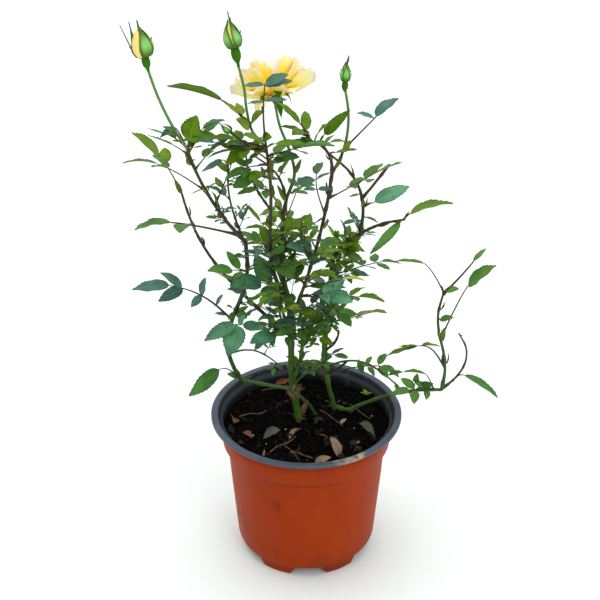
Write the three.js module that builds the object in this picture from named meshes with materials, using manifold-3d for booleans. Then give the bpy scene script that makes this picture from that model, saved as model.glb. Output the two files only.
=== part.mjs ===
// A miniature rose bush growing in a 14 cm nursery pot. Millimetres, +Z up.
// The origin lies on the floor under the centre of the pot, and the front of the plant faces -Y.
// Canes, stalks and leaf sprays are grown one from another: each is told by what carries it, how far
// along, and how far it reaches. A small gap is kept between every two pieces that touch.
import * as THREE from "three";
import { mergeVertices } from "three/addons/utils/BufferGeometryUtils.js";
import Module from "manifold-3d";

const wasm = await Module();
wasm.setup();

// Driving dimensions ------------------------------------------------------------------------------

const GAP = 0.3;

// Radii from the middle of the pot outwards, then heights and thicknesses.
const POT = {
  disc: 20,
  dishSlope: 3,
  footInner: 44.2,
  footOuter: 47.6,
  footTop: 48.8,
  heel: 50.4,
  bodyFoot: 51.8,
  bodyTop: 58.3,
  collarFoot: 61.8,
  ledge: 62.3,
  collarTop: 63.6,
  mouth: 64.6,
  lip: 70,
  recess: 8.2,
  heelRise: 0.6,
  heelRound: 4,
  bodyHeight: 90,
  stepRise: 2.5,
  ledgeDrop: 4,
  lipDrop: 2.4,
  lipThick: 2,
  lipRound: 0.8,
  height: 116,
  wall: 1.2,
  sides: 38,
};

const NOTCH = { count: 6, turn: 2, top: 17, bottom: 28, height: 8, start: 40, depth: 14, clear: 1 };
const DRAIN = { count: 6, ring: 34, radius: 3.5, depth: 6, sides: 10 };
const SOIL = { top: 100, edge: 98, mound: 50, inset: 0.45 };

const LIMB = { sides: 6, pace: 17, fewest: 4, flare: 0.75, flareFade: 25, flareShare: 0.08 };
const PAD = {
  sides: 6,
  rings: 5,
  lobe: 0.22,
  arch: 0.06,
  neck: 0.6,
  widest: 1.35,
  fullness: 0.75,
  steep: 0.5,
};
const CLUMP = { sides: 9, rings: 7, lump: 0.16, wavesRound: 3, wavesUp: 4, twist: 2 };

const COLOUR = {
  terracotta: 0xb8482a,
  soil: 0x1d1612,
  greenCane: 0x4f7d2a,
  darkCane: 0x3b3a24,
  stalk: 0x6fa548,
  leaf: 0x3d7a45,
  youngLeaf: 0x7da12f,
  bud: 0x74ac4a,
  petal: 0xf6d879,
};

// Each limb: what carries it, how far along it starts, its reach from foot to tip, the bow of its middle,
// the sway of its lower half against its upper half, and its radius at foot and tip.
const LIMBS = {
  main_cane: { soil: [-5, 10], reach: [-12, -10, 129], sway: [-2, 1, 0], radius: [2.9, 1.8] },
  side_root: { soil: [8, 19], reach: [-15, -10, 24], bow: [3, 1, -3], radius: [1.5, 1.3] },
  straight_cane: {
    on: "main_cane",
    at: 0.84,
    reach: [-13, -25, 127],
    bow: [-5, -3, -2],
    sway: [-3, 0, -1],
    radius: [1.5, 0.9],
  },
  centre_cane: { on: "main_cane", at: 1, reach: [3, 18, 50], bow: [-2, -1, 0], radius: [1.6, 1.3] },
  bloom_stalk: {
    on: "centre_cane",
    at: 1,
    reach: [-8, 27, 60],
    bow: [6, 1, 0],
    sway: [3, 0, 0],
    radius: [1.2, 0.9],
  },
  inner_shoot: { on: "main_cane", at: 0.25, reach: [4, -20, 81], bow: [5, 1, 0], radius: [1.4, 1.1] },
  fork_cane: { on: "inner_shoot", at: 1, reach: [23, 16, 91], bow: [3, 4, -1], radius: [1.1, 1.2] },
  top_arch: { on: "fork_cane", at: 1, reach: [-15, -12, 29], bow: [4, 2, 3], radius: [1.1, 0.8] },
  right_bud_stalk: { on: "fork_cane", at: 1, reach: [8, 12, 57], bow: [6, 2, -3], radius: [1.1, 0.9] },
  left_arch: {
    on: "main_cane",
    at: 0.6,
    reach: [-79, 54, 88],
    bow: [-9, 3, -10],
    sway: [1, 0, 1],
    radius: [1.6, 0.9],
  },
  low_left_cane: { on: "main_cane", at: 0.22, reach: [-39, 10, 2], bow: [0, 2, -2], radius: [1.7, 1.5] },
  low_left_riser: {
    on: "low_left_cane",
    at: 1,
    reach: [7, -32, 131],
    bow: [-6, 1, 0],
    sway: [-6, 0, 0],
    radius: [1.5, 1.4],
  },
  left_bud_cane: {
    on: "low_left_riser",
    at: 1,
    reach: [-35, -22, 78],
    bow: [-4, 0, -2],
    radius: [1.4, 1],
  },
  left_bud_stalk: {
    on: "left_bud_cane",
    at: 1,
    reach: [-21, -9, 56],
    bow: [-2, 0, -1],
    radius: [1, 0.9],
  },
  mid_bud_stalk: {
    on: "straight_cane",
    at: 0.99,
    reach: [-17, 2, 56],
    bow: [-4, 4, -3],
    sway: [-2, 2, -1],
    radius: [0.9, 0.9],
  },
  right_cane: {
    soil: [23, 23],
    reach: [-4, 11, 125],
    bow: [-7, 0, 0],
    sway: [-2, 0, 0],
    radius: [2.1, 1.8],
  },
  right_reach: { on: "right_cane", at: 1, reach: [49, -12, 36], bow: [-2, 2, 5], radius: [1.7, 0.9] },
  right_arch: { on: "right_reach", at: 0.4, reach: [-21, -3, 64], bow: [11, -1, 4], radius: [1.4, 0.8] },
  cut_stub: { on: "right_arch", at: 0.4, reach: [18, -4, 28], radius: [1, 1] },
  low_right_cane: { soil: [30, 21], reach: [69, -17, 31], bow: [0, 0, 6], radius: [1.7, 1.5] },
  low_right_riser: {
    on: "low_right_cane",
    at: 1,
    reach: [-3, -6, 85],
    bow: [-1, 0, 0],
    sway: [3, 0, 0],
    radius: [1.4, 1],
  },
  low_right_hook: {
    on: "low_right_cane",
    at: 1,
    reach: [9, -10, 54],
    bow: [11, 0, 0],
    radius: [1.2, 0.8],
  },
};

// Each bud sits on the tip of its stalk: the way it points, its scale, and how far its longest
// sepal reaches.
const BUDS = {
  left_bud: { on: "left_bud_stalk", towards: [-7, 2, 36], scale: 1, sepal: 30 },
  mid_bud: { on: "mid_bud_stalk", towards: [-4, 2, 36], scale: 1, sepal: 30 },
  right_bud: { on: "right_bud_stalk", towards: [1, 2, 26], scale: 0.6, sepal: 36 },
};
const BUD_PROFILE = [
  [1, 0],
  [2.7, 2],
  [3, 5.5],
  [2.2, 8.5],
  [5, 10.5],
  [6.5, 14.5],
  [5.6, 19],
  [3.2, 24],
  [1, 28],
];

const BUD_SIDES = 9;

const BLOOM = {
  on: "bloom_stalk",
  towards: [-0.08, 0.6, 0.76],
  petals: 5,
  flute: 0.07,
  skew: 0.04,
  heart: 16,
  sides: 18,
};
const BLOOM_PROFILE = [
  [2.5, 0],
  [9, 2.5],
  [21, 8],
  [29, 16],
  [30, 21],
  [22, 22],
  [10, 18],
];

// Each thin spray of leaves: the limb that carries it and how far along, its reach, its width and thickness,
// how many pairs of leaflets shape its edge, the turn of its flat about its length in degrees, and how high
// its middle arches as a share of its length.
const SPRAYS = {
  bloom_leaf: { on: "straight_cane", at: 1, reach: [6, -5, 51], wide: 28, thick: 6, pairs: 2, turn: 25 },
  top_left_fan: { on: "straight_cane", at: 0.97, reach: [-40, -16, 2], wide: 26, thick: 9, pairs: 2 },
  top_right_fan: { on: "straight_cane", at: 0.95, reach: [43, -10, 12], wide: 24, thick: 9, pairs: 2 },
  long_left_leaf: { on: "mid_bud_stalk", at: 0.28, reach: [-56, 13, 27], wide: 9, thick: 6, pairs: 1 },
  high_right_leaf: { on: "top_arch", at: 1, reach: [-22, 6, 23], wide: 20, thick: 6, pairs: 2 },
  right_top_leaf: { on: "right_bud_stalk", at: 0.28, reach: [35, 13, 32], wide: 13, thick: 6, pairs: 2 },
  fork_reach_leaf: { on: "fork_cane", at: 0.78, reach: [47, -18, 36], wide: 14, thick: 6, pairs: 3 },
  centre_leaf: {
    on: "fork_cane",
    at: 0.66,
    reach: [-3, -20, 48],
    wide: 34,
    thick: 8,
    pairs: 3,
    turn: 20,
  },
  stub_leaf: { on: "right_arch", at: 0.3, reach: [31, 7, 13], wide: 12, thick: 5, pairs: 1 },
  far_right_leaf: { on: "right_reach", at: 1, reach: [33, -2, 12], wide: 11, thick: 5, pairs: 1 },
  hanging_leaf: { on: "right_reach", at: 0.93, reach: [-18, -13, -18], wide: 10, thick: 5, pairs: 1 },
  right_back_spray: { on: "right_cane", at: 0.88, reach: [52, 14, 4], wide: 22, thick: 8, pairs: 3 },
  right_front_spray: { on: "fork_cane", at: 0.05, reach: [57, -18, 6], wide: 20, thick: 8, pairs: 3 },
  riser_top_leaf: { on: "low_right_riser", at: 0.97, reach: [30, 8, 28], wide: 9, thick: 5, pairs: 1 },
  riser_front_leaf: {
    on: "low_right_riser",
    at: 0.5,
    reach: [32, -13, 68],
    wide: 18,
    thick: 6,
    pairs: 2,
  },
  riser_low_leaf: {
    on: "low_right_riser",
    at: 0.45,
    reach: [-41, 6, -14],
    wide: 9,
    thick: 5,
    pairs: 1,
    arch: 0.2,
  },
  rim_leaf: { on: "low_right_cane", at: 0.93, reach: [-33, -12, 2], wide: 16, thick: 6, pairs: 2 },
  low_tip_leaf: {
    on: "low_right_hook",
    at: 0.16,
    reach: [34, -8, -6],
    wide: 10,
    thick: 5,
    pairs: 1,
    arch: 0.14,
  },
  right_low_spray: {
    on: "right_cane",
    at: 0.26,
    reach: [56, -2, -5],
    wide: 16,
    thick: 7,
    pairs: 2,
    arch: 0.16,
  },
  low_left_leaf: {
    on: "low_left_cane",
    at: 0.98,
    reach: [-40, -3, -12],
    wide: 15,
    thick: 5,
    pairs: 1,
    arch: 0.25,
  },
  low_left_spray: { on: "low_left_riser", at: 0.38, reach: [-67, -22, 48], wide: 24, thick: 8, pairs: 3 },
  front_left_spray: { on: "main_cane", at: 0.62, reach: [-54, -36, 15], wide: 28, thick: 9, pairs: 2 },
  front_mid_spray: { on: "straight_cane", at: 0.12, reach: [-34, -20, 10], wide: 26, thick: 8, pairs: 2 },
  left_reach_leaf: { on: "left_bud_cane", at: 0.06, reach: [-70, -18, 18], wide: 12, thick: 6, pairs: 3 },
  left_inner_leaf: { on: "left_bud_cane", at: 0.42, reach: [14, 12, 36], wide: 16, thick: 6, pairs: 2 },
  left_top_leaf: { on: "left_bud_cane", at: 0.99, reach: [-23, -7, 16], wide: 15, thick: 6, pairs: 1 },
  left_crown_leaf: { on: "left_bud_cane", at: 0.96, reach: [20, 8, 18], wide: 20, thick: 7, pairs: 2 },
  arch_tip_spray: { on: "left_arch", at: 1, reach: [-34, -7, 48], wide: 22, thick: 7, pairs: 2 },
  back_spray: { on: "centre_cane", at: 0.6, reach: [14, 50, 16], wide: 32, thick: 9, pairs: 3 },
};

// Each thick clump of leaves round the canes: the limb in it, how far along its middle lies, the middle's
// shift from the limb, and its half sizes.
const CLUMPS = {
  heart_clump: { on: "centre_cane", at: 0.2, shift: [5, 0, 4], half: [24, 21, 20] },
  right_clump: { on: "right_reach", at: 0.3, shift: [-6, -4, -8], half: [20, 20, 18] },
  lower_clump: { on: "inner_shoot", at: 0.75, shift: [14, 8, -2], half: [18, 16, 15] },
};

// Materials ---------------------------------------------------------------------------------------

function finish(color, roughness) {
  return new THREE.MeshStandardMaterial({ color, roughness, metalness: 0 });
}

const MATERIALS = {
  pot: finish(COLOUR.terracotta, 0.5),
  soil: finish(COLOUR.soil, 1),
  greenCane: finish(COLOUR.greenCane, 0.55),
  darkCane: finish(COLOUR.darkCane, 0.6),
  stalk: finish(COLOUR.stalk, 0.5),
  leaf: finish(COLOUR.leaf, 0.6),
  youngLeaf: finish(COLOUR.youngLeaf, 0.6),
  bud: finish(COLOUR.bud, 0.5),
  petal: finish(COLOUR.petal, 0.6),
};
const YOUNG_SPRAYS = ["long_left_leaf", "high_right_leaf", "top_left_fan"];
const GREEN_CANES = [
  "main_cane",
  "side_root",
  "inner_shoot",
  "low_left_cane",
  "right_cane",
  "low_right_cane",
  "low_right_riser",
];

// Solids and booleans -----------------------------------------------------------------------------

const vector = (values) => new THREE.Vector3(...values);

function solidOf(geometry) {
  const bare = geometry.clone();
  bare.deleteAttribute("normal");
  bare.deleteAttribute("uv");
  const merged = mergeVertices(bare, 1e-4);
  return new wasm.Manifold(
    new wasm.Mesh({
      numProp: 3,
      vertProperties: merged.attributes.position.array,
      triVerts: new Uint32Array(merged.index.array),
    }),
  );
}

// A closed skin over a row of rings, each a list of points taken the same way round, with a point
// at each end.
function skinOf(rings) {
  const sides = rings[0].length;
  const middle = (ring) => ring.reduce((sum, p) => sum.add(p), new THREE.Vector3()).divideScalar(sides);
  const points = [...rings.flat(), middle(rings[0]), middle(rings.at(-1))];
  const footCentre = rings.length * sides;
  const index = [];
  for (let side = 0; side < sides; side++) {
    const next = (side + 1) % sides;
    for (let ring = 0; ring + 1 < rings.length; ring++) {
      const low = ring * sides;
      const high = low + sides;
      index.push(low + side, low + next, high + next, low + side, high + next, high + side);
    }
    const last = (rings.length - 1) * sides;
    index.push(footCentre, next, side, footCentre + 1, last + side, last + next);
  }
  const geometry = new THREE.BufferGeometry().setFromPoints(points);
  geometry.setIndex(index);
  return solidOf(geometry);
}

function meshOf(name, solid, material) {
  const { numVert, numProp, vertProperties, triVerts } = solid.getMesh();
  const positions = new Float32Array(numVert * 3);
  for (let i = 0; i < numVert; i++) {
    positions.set(vertProperties.subarray(i * numProp, i * numProp + 3), i * 3);
  }
  const geometry = new THREE.BufferGeometry();
  geometry.setAttribute("position", new THREE.BufferAttribute(positions, 3));
  geometry.setIndex(new THREE.BufferAttribute(triVerts, 1));
  geometry.computeVertexNormals();
  const mesh = new THREE.Mesh(geometry, material);
  mesh.name = name;
  return mesh;
}

function largestOf(solid) {
  return solid.decompose().reduce((best, body) => (body.volume() > best.volume() ? body : best));
}

const group = new THREE.Group();
const grown = [];

// Adds a piece of the plant, cut back by the gap from everything that has grown before it. The piece is told
// by a function that makes it with an allowance all round.
function grow(name, make, material) {
  let solid = make(0);
  for (const earlier of grown) {
    if (solid.intersect(earlier).volume() > 0) solid = solid.subtract(earlier);
  }
  grown.push(make(GAP));
  group.add(meshOf(name, largestOf(solid), material));
}

// Pot and soil ------------------------------------------------------------------------------------

function lathe(profile, sides) {
  const geometry = new THREE.LatheGeometry(
    profile.map(([radius, height]) => new THREE.Vector2(radius, height)),
    sides,
  );
  return geometry.rotateX(Math.PI / 2);
}

function potProfile() {
  const { wall, recess, height, lip } = POT;
  const dish = POT.disc + POT.dishSlope;
  const ledge = height - POT.ledgeDrop;
  const outside = [
    [0, 0],
    [POT.disc, 0],
    [dish, recess],
    [POT.footInner - wall, recess],
    [POT.footInner, 0],
    [POT.footOuter, 0],
    [POT.footTop, NOTCH.height],
    [POT.heel, NOTCH.height + POT.heelRise],
    [POT.bodyFoot, NOTCH.height + POT.heelRound],
    [POT.bodyTop, POT.bodyHeight],
    [POT.collarFoot, POT.bodyHeight + POT.stepRise],
    [POT.collarTop, height - POT.lipThick - POT.lipRound],
    [lip - wall, height - POT.lipThick],
    [lip - wall, height - POT.lipDrop],
    [lip, height - POT.lipDrop],
    [lip, height - POT.lipRound],
    [lip - POT.lipRound, height],
  ];
  const inside = [
    [POT.mouth, height],
    [POT.mouth - POT.lipRound, ledge + POT.lipRound],
    [POT.ledge, ledge],
    [POT.collarFoot - wall, POT.bodyHeight + POT.stepRise],
    [POT.bodyTop - wall, POT.bodyHeight],
    [POT.bodyFoot - wall, recess + wall + POT.heelRound],
    [POT.heel - 2 * wall, recess + wall],
    [dish + wall / 2, recess + wall],
    [POT.disc + wall / 2, wall],
    [0, wall],
  ];
  return [...outside, ...inside];
}

function notchCutter(turn) {
  const { bottom, top, height, clear } = NOTCH;
  const shape = new THREE.Shape([
    new THREE.Vector2(-bottom / 2, -clear),
    new THREE.Vector2(bottom / 2, -clear),
    new THREE.Vector2(top / 2, height),
    new THREE.Vector2(-top / 2, height),
  ]);
  const geometry = new THREE.ExtrudeGeometry(shape, { depth: NOTCH.depth, bevelEnabled: false });
  geometry.rotateX(Math.PI / 2);
  geometry.translate(0, -NOTCH.start, 0);
  geometry.rotateZ(turn);
  return solidOf(geometry);
}

function drainCutter(turn) {
  const geometry = new THREE.CylinderGeometry(DRAIN.radius, DRAIN.radius, DRAIN.depth, DRAIN.sides);
  geometry.rotateX(Math.PI / 2);
  geometry.translate(0, -DRAIN.ring, POT.recess);
  geometry.rotateZ(turn);
  return solidOf(geometry);
}

function makePot() {
  let pot = solidOf(lathe(potProfile(), POT.sides));
  for (let i = 0; i < NOTCH.count; i++) {
    const turn = THREE.MathUtils.degToRad(NOTCH.turn + (360 / NOTCH.count) * i);
    pot = pot.subtract(notchCutter(turn));
  }
  for (let i = 0; i < DRAIN.count; i++) {
    const turn = THREE.MathUtils.degToRad(NOTCH.turn + (360 / DRAIN.count) * (i + 0.5));
    pot = pot.subtract(drainCutter(turn));
  }
  return pot;
}

// The potting mix fills the pot, its own gap inside the wall, up to a low mound under the canes.
function makeSoil() {
  const { wall, recess } = POT;
  const inset = wall + SOIL.inset;
  const floor = wall + GAP;
  return solidOf(
    lathe(
      [
        [0, floor],
        [POT.disc, floor],
        [POT.disc + POT.dishSlope, recess + floor],
        [POT.heel - wall - inset, recess + floor],
        [POT.bodyFoot - inset, recess + floor + POT.heelRound],
        [POT.bodyTop - inset, POT.bodyHeight],
        [POT.collarFoot - inset, POT.bodyHeight + POT.stepRise],
        [POT.collarFoot - inset, SOIL.edge],
        [SOIL.mound, SOIL.top],
        [0, SOIL.top],
      ],
      POT.sides,
    ),
  );
}

// Limbs -------------------------------------------------------------------------------------------

const LINE_STEP = 0.01;
const LIMB_SIDE = vector([0.3, 1, 0.2]);
const limbs = {};

// A limb's line and radius as functions of the share along it.
function layLimb(spec) {
  const foot = spec.soil ? vector([...spec.soil, SOIL.top + GAP]) : limbs[spec.on].at(spec.at);
  const reach = vector(spec.reach);
  const bow = vector(spec.bow ?? [0, 0, 0]);
  const sway = vector(spec.sway ?? [0, 0, 0]);
  const at = (share) =>
    foot
      .clone()
      .addScaledVector(reach, share)
      .addScaledVector(bow, 4 * share * (1 - share))
      .addScaledVector(sway, Math.sin(2 * Math.PI * share));
  const along = (share) => at(share + LINE_STEP).sub(at(share - LINE_STEP)).normalize();
  const [thick, thin] = spec.radius;
  const radius = (share) => {
    const flare = spec.soil ? LIMB.flare * thick * Math.exp(-LIMB.flareFade * share) : 0;
    return THREE.MathUtils.lerp(thick, thin, share) + flare;
  };
  return { at, along, radius, length: reach.length(), rooted: Boolean(spec.soil) };
}

function ringRound(centre, normal, radiusA, radiusB, sides, towards) {
  const across = towards.clone().addScaledVector(normal, -towards.dot(normal)).normalize();
  const over = normal.clone().cross(across);
  return Array.from({ length: sides }, (_, i) => {
    const angle = (2 * Math.PI * i) / sides;
    return centre
      .clone()
      .addScaledVector(across, radiusA * Math.cos(angle))
      .addScaledVector(over, radiusB * Math.sin(angle));
  });
}

function makeLimb(limb, allowance) {
  const steps = Math.max(LIMB.fewest, Math.round(limb.length / LIMB.pace));
  const shares = Array.from({ length: steps + 1 }, (_, i) => i / steps);
  if (limb.rooted) shares.splice(1, 0, LIMB.flareShare);
  const rings = shares.map((share) => {
    const radius = limb.radius(share) + allowance;
    return ringRound(limb.at(share), limb.along(share), radius, radius, LIMB.sides, LIMB_SIDE);
  });
  const soilLevel = limb.at(0).z - allowance;
  for (const point of rings[0]) {
    if (limb.rooted) point.z = soilLevel;
    else point.addScaledVector(limb.along(0), -allowance);
  }
  for (const point of rings.at(-1)) point.addScaledVector(limb.along(1), allowance);
  return skinOf(rings);
}

function growLimbs() {
  for (const [name, spec] of Object.entries(LIMBS)) {
    limbs[name] = layLimb(spec);
    const material = GREEN_CANES.includes(name)
      ? MATERIALS.greenCane
      : name.endsWith("stalk")
        ? MATERIALS.stalk
        : MATERIALS.darkCane;
    grow(name, (allowance) => makeLimb(limbs[name], allowance), material);
  }
}

// Buds and bloom ----------------------------------------------------------------------------------

// Stands a turned shape on the tip of a limb, pointing a given way.
function standOn(geometry, limb, towards) {
  const direction = vector(towards).normalize();
  const turn = new THREE.Quaternion().setFromUnitVectors(vector([0, 0, 1]), direction);
  const foot = limb.at(1).addScaledVector(direction, GAP);
  geometry.applyQuaternion(turn);
  return geometry.translate(foot.x, foot.y, foot.z);
}

function makeBud(spec, allowance) {
  const profile = BUD_PROFILE.map(([radius, height]) => [
    radius * spec.scale + allowance,
    height * spec.scale,
  ]);
  const closed = [[0, -allowance], ...profile, [0, spec.sepal * spec.scale + allowance]];
  return solidOf(standOn(lathe(closed, BUD_SIDES), limbs[spec.on], spec.towards));
}

function makeBloom(allowance) {
  const profile = BLOOM_PROFILE.map(([radius, height]) => [radius + allowance, height]);
  const geometry = lathe([[0, -allowance], ...profile, [0, BLOOM.heart]], BLOOM.sides);
  const position = geometry.attributes.position;
  for (let i = 0; i < position.count; i++) {
    const angle = Math.atan2(position.getY(i), position.getX(i));
    const wave = 1 + BLOOM.flute * Math.cos(BLOOM.petals * angle) + BLOOM.skew * Math.sin(3 * angle);
    position.setXY(i, position.getX(i) * wave, position.getY(i) * wave);
  }
  return solidOf(standOn(geometry, limbs[BLOOM.on], BLOOM.towards));
}

function growFlowers() {
  for (const [name, spec] of Object.entries(BUDS)) {
    grow(name, (allowance) => makeBud(spec, allowance), MATERIALS.bud);
  }
  grow("bloom", makeBloom, MATERIALS.petal);
}

// Foliage -----------------------------------------------------------------------------------------

// A thin pad of leaflets: narrow at its foot on the limb, wavy along its edge where the leaflets spread, and
// sagging a little towards its tip.
function makeSpray(spec, seed, allowance) {
  const limb = limbs[spec.on];
  const foot = limb.at(spec.at);
  const reach = vector(spec.reach);
  const length = reach.length();
  const forward = reach.clone().normalize();
  const flat = vector([-forward.y, forward.x, 0]).normalize();
  if (Math.hypot(forward.x, forward.y) < PAD.steep) flat.set(1, 0, 0);
  flat.applyAxisAngle(forward, THREE.MathUtils.degToRad(spec.turn ?? 0));
  const neck = limb.radius(spec.at) * PAD.neck;
  const rings = [];
  for (let i = 0; i <= PAD.rings; i++) {
    const share = i / PAD.rings;
    const swell = Math.pow(Math.max(0, Math.sin(Math.PI * share ** PAD.widest)), PAD.fullness);
    const lobe = 1 + PAD.lobe * Math.cos(2 * Math.PI * spec.pairs * share + seed);
    const half = neck + swell * lobe * (spec.wide / 2 - neck);
    const depth = neck + swell * (spec.thick / 2 - neck);
    const centre = foot.clone().addScaledVector(reach, share);
    centre.z += Math.sin(Math.PI * share) * length * (spec.arch ?? PAD.arch);
    const end = i === 0 ? -allowance : i === PAD.rings ? allowance : 0;
    centre.addScaledVector(forward, end);
    rings.push(ringRound(centre, forward, half + allowance, depth + allowance, PAD.sides, flat));
  }
  return skinOf(rings);
}

// An uneven rounded clump, lumpy by two waves that run round and up it. Its rings run from the lowest share
// of its height to the highest, and its flat ends close it.
function makeClump(spec, seed, allowance) {
  const middle = limbs[spec.on].at(spec.at).add(vector(spec.shift));
  const half = vector(spec.half).addScalar(allowance);
  const rings = [];
  for (let i = 0; i < CLUMP.rings; i++) {
    const rise = -Math.cos((Math.PI * (i + 0.5)) / CLUMP.rings);
    const girth = Math.sqrt(1 - rise * rise);
    const ring = [];
    for (let side = 0; side < CLUMP.sides; side++) {
      const angle = (2 * Math.PI * side) / CLUMP.sides;
      const wave = Math.sin(CLUMP.wavesRound * angle + CLUMP.twist * rise + seed);
      const lump = 1 + CLUMP.lump * wave * Math.cos(CLUMP.wavesUp * rise + seed);
      const out = girth * lump;
      const offset = vector([out * Math.cos(angle), out * Math.sin(angle), rise]).multiply(half);
      ring.push(offset.add(middle));
    }
    rings.push(ring);
  }
  return skinOf(rings);
}

function growFoliage() {
  Object.entries(SPRAYS).forEach(([name, spec], seed) => {
    const material = YOUNG_SPRAYS.includes(name) ? MATERIALS.youngLeaf : MATERIALS.leaf;
    grow(name, (allowance) => makeSpray(spec, seed, allowance), material);
  });
  Object.entries(CLUMPS).forEach(([name, spec], seed) => {
    grow(name, (allowance) => makeClump(spec, seed, allowance), MATERIALS.leaf);
  });
}

// Assembly ----------------------------------------------------------------------------------------

group.add(meshOf("pot", makePot(), MATERIALS.pot));
group.add(meshOf("soil", makeSoil(), MATERIALS.soil));
growLimbs();
growFlowers();
growFoliage();

export default group;
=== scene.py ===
"""A miniature rose bush in a 14 cm nursery pot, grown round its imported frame. Metres, +Z up."""
import math
import random

import bmesh
import bpy
import numpy as np
from mathutils import Matrix, Quaternion, Vector, noise


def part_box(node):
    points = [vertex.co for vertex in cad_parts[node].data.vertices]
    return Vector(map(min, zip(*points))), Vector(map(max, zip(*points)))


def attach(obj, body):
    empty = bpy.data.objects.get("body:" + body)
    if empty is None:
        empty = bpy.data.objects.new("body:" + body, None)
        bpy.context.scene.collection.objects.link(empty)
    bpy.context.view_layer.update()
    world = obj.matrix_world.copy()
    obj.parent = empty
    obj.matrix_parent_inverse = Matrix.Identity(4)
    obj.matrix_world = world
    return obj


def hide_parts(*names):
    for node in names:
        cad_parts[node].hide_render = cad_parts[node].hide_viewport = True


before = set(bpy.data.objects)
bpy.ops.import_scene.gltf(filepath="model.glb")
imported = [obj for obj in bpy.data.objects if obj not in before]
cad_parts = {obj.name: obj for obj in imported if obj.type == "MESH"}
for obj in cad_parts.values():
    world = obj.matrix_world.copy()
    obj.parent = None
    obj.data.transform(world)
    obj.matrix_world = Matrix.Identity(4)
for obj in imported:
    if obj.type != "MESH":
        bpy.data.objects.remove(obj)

MM = 0.001
UP = Vector((0, 0, 1))
FRONT = Vector((0, -1, 0))
TURN = 6.28
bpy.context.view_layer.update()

# ---- Named sizes, in millimetres ----

# The pot's radii from the middle of its foot to its lip, then its heights and walls.
DISC, DISH, FOOT_IN, FOOT_OUT, FOOT_TOP, HEEL = 20, 23, 44.2, 47.6, 48.8, 50.4
BODY_FOOT, BODY_TOP, COLLAR_FOOT, LEDGE, COLLAR_TOP, MOUTH, LIP = 51.8, 58.3, 61.8, 62.3, 63.6, 64.6, 70
RECESS, POT_HEIGHT, WALL, SKIN = 8.2, 116, 1.2, 0.55
NOTCH = {"count": 6, "turn": 2, "top": 17, "bottom": 28, "height": 8}
POT_SIDES, MIX_SIDES, BED_SIDES = 240, 96, 64

# The canes in growing order: what each grows from, how ripe its bark is at foot and tip (0 fresh green,
# 1 dark red-brown), the stem piece that it belongs to, and how thick its bark stands beside its frame: at
# its foot, and from three tenths of its length on.
CANES = {
    "main_cane": ("soil", 0.0, 0.30, "main_stems", 0.80, 0.98),
    "side_root": ("soil", 0.05, 0.10, "main_stems", 0.80, 0.74),
    "straight_cane": ("main_cane", 0.45, 0.78, "main_stems", 1.02, 1.02),
    "centre_cane": ("main_cane", 0.30, 0.62, "main_stems", 1.02, 1.02),
    "inner_shoot": ("main_cane", 0.05, 0.20, "main_stems", 1.02, 1.02),
    "fork_cane": ("inner_shoot", 0.35, 0.80, "main_stems", 1.02, 1.02),
    "top_arch": ("fork_cane", 0.80, 0.90, "main_stems", 1.02, 1.02),
    "left_arch": ("main_cane", 0.45, 0.85, "left_stems", 1.05, 0.88),
    "low_left_cane": ("main_cane", 0.08, 0.12, "left_stems", 0.78, 0.88),
    "low_left_riser": ("low_left_cane", 0.12, 0.85, "left_stems", 1.02, 1.02),
    "left_bud_cane": ("low_left_riser", 0.80, 0.45, "left_stems", 1.0, 0.92),
    "right_cane": ("soil", 0.0, 0.25, "right_stems", 0.58, 1.05),
    "right_reach": ("right_cane", 0.30, 0.70, "right_stems", 1.0, 0.88),
    "right_arch": ("right_reach", 0.45, 0.78, "right_stems", 0.95, 0.95),
    "cut_stub": ("right_arch", 0.92, 1.0, "right_stems", 1.02, 1.02),
    "low_right_cane": ("soil", 0.0, 0.10, "low_right_stems", 0.84, 0.80),
    "low_right_riser": ("low_right_cane", 0.08, 0.55, "low_right_stems", 0.92, 0.82),
    "low_right_hook": ("low_right_cane", 0.10, 0.85, "low_right_stems", 0.84, 0.74),
    "bloom_stalk": ("centre_cane", 0.55, 0.05, "flower_stalks", 1.0, 1.0),
    "right_bud_stalk": ("fork_cane", 0.70, 0.0, "flower_stalks", 1.0, 1.0),
    "left_bud_stalk": ("left_bud_cane", 0.0, 0.0, "flower_stalks", 1.0, 1.0),
    "mid_bud_stalk": ("straight_cane", 0.10, 0.0, "flower_stalks", 1.0, 1.0),
}

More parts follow.
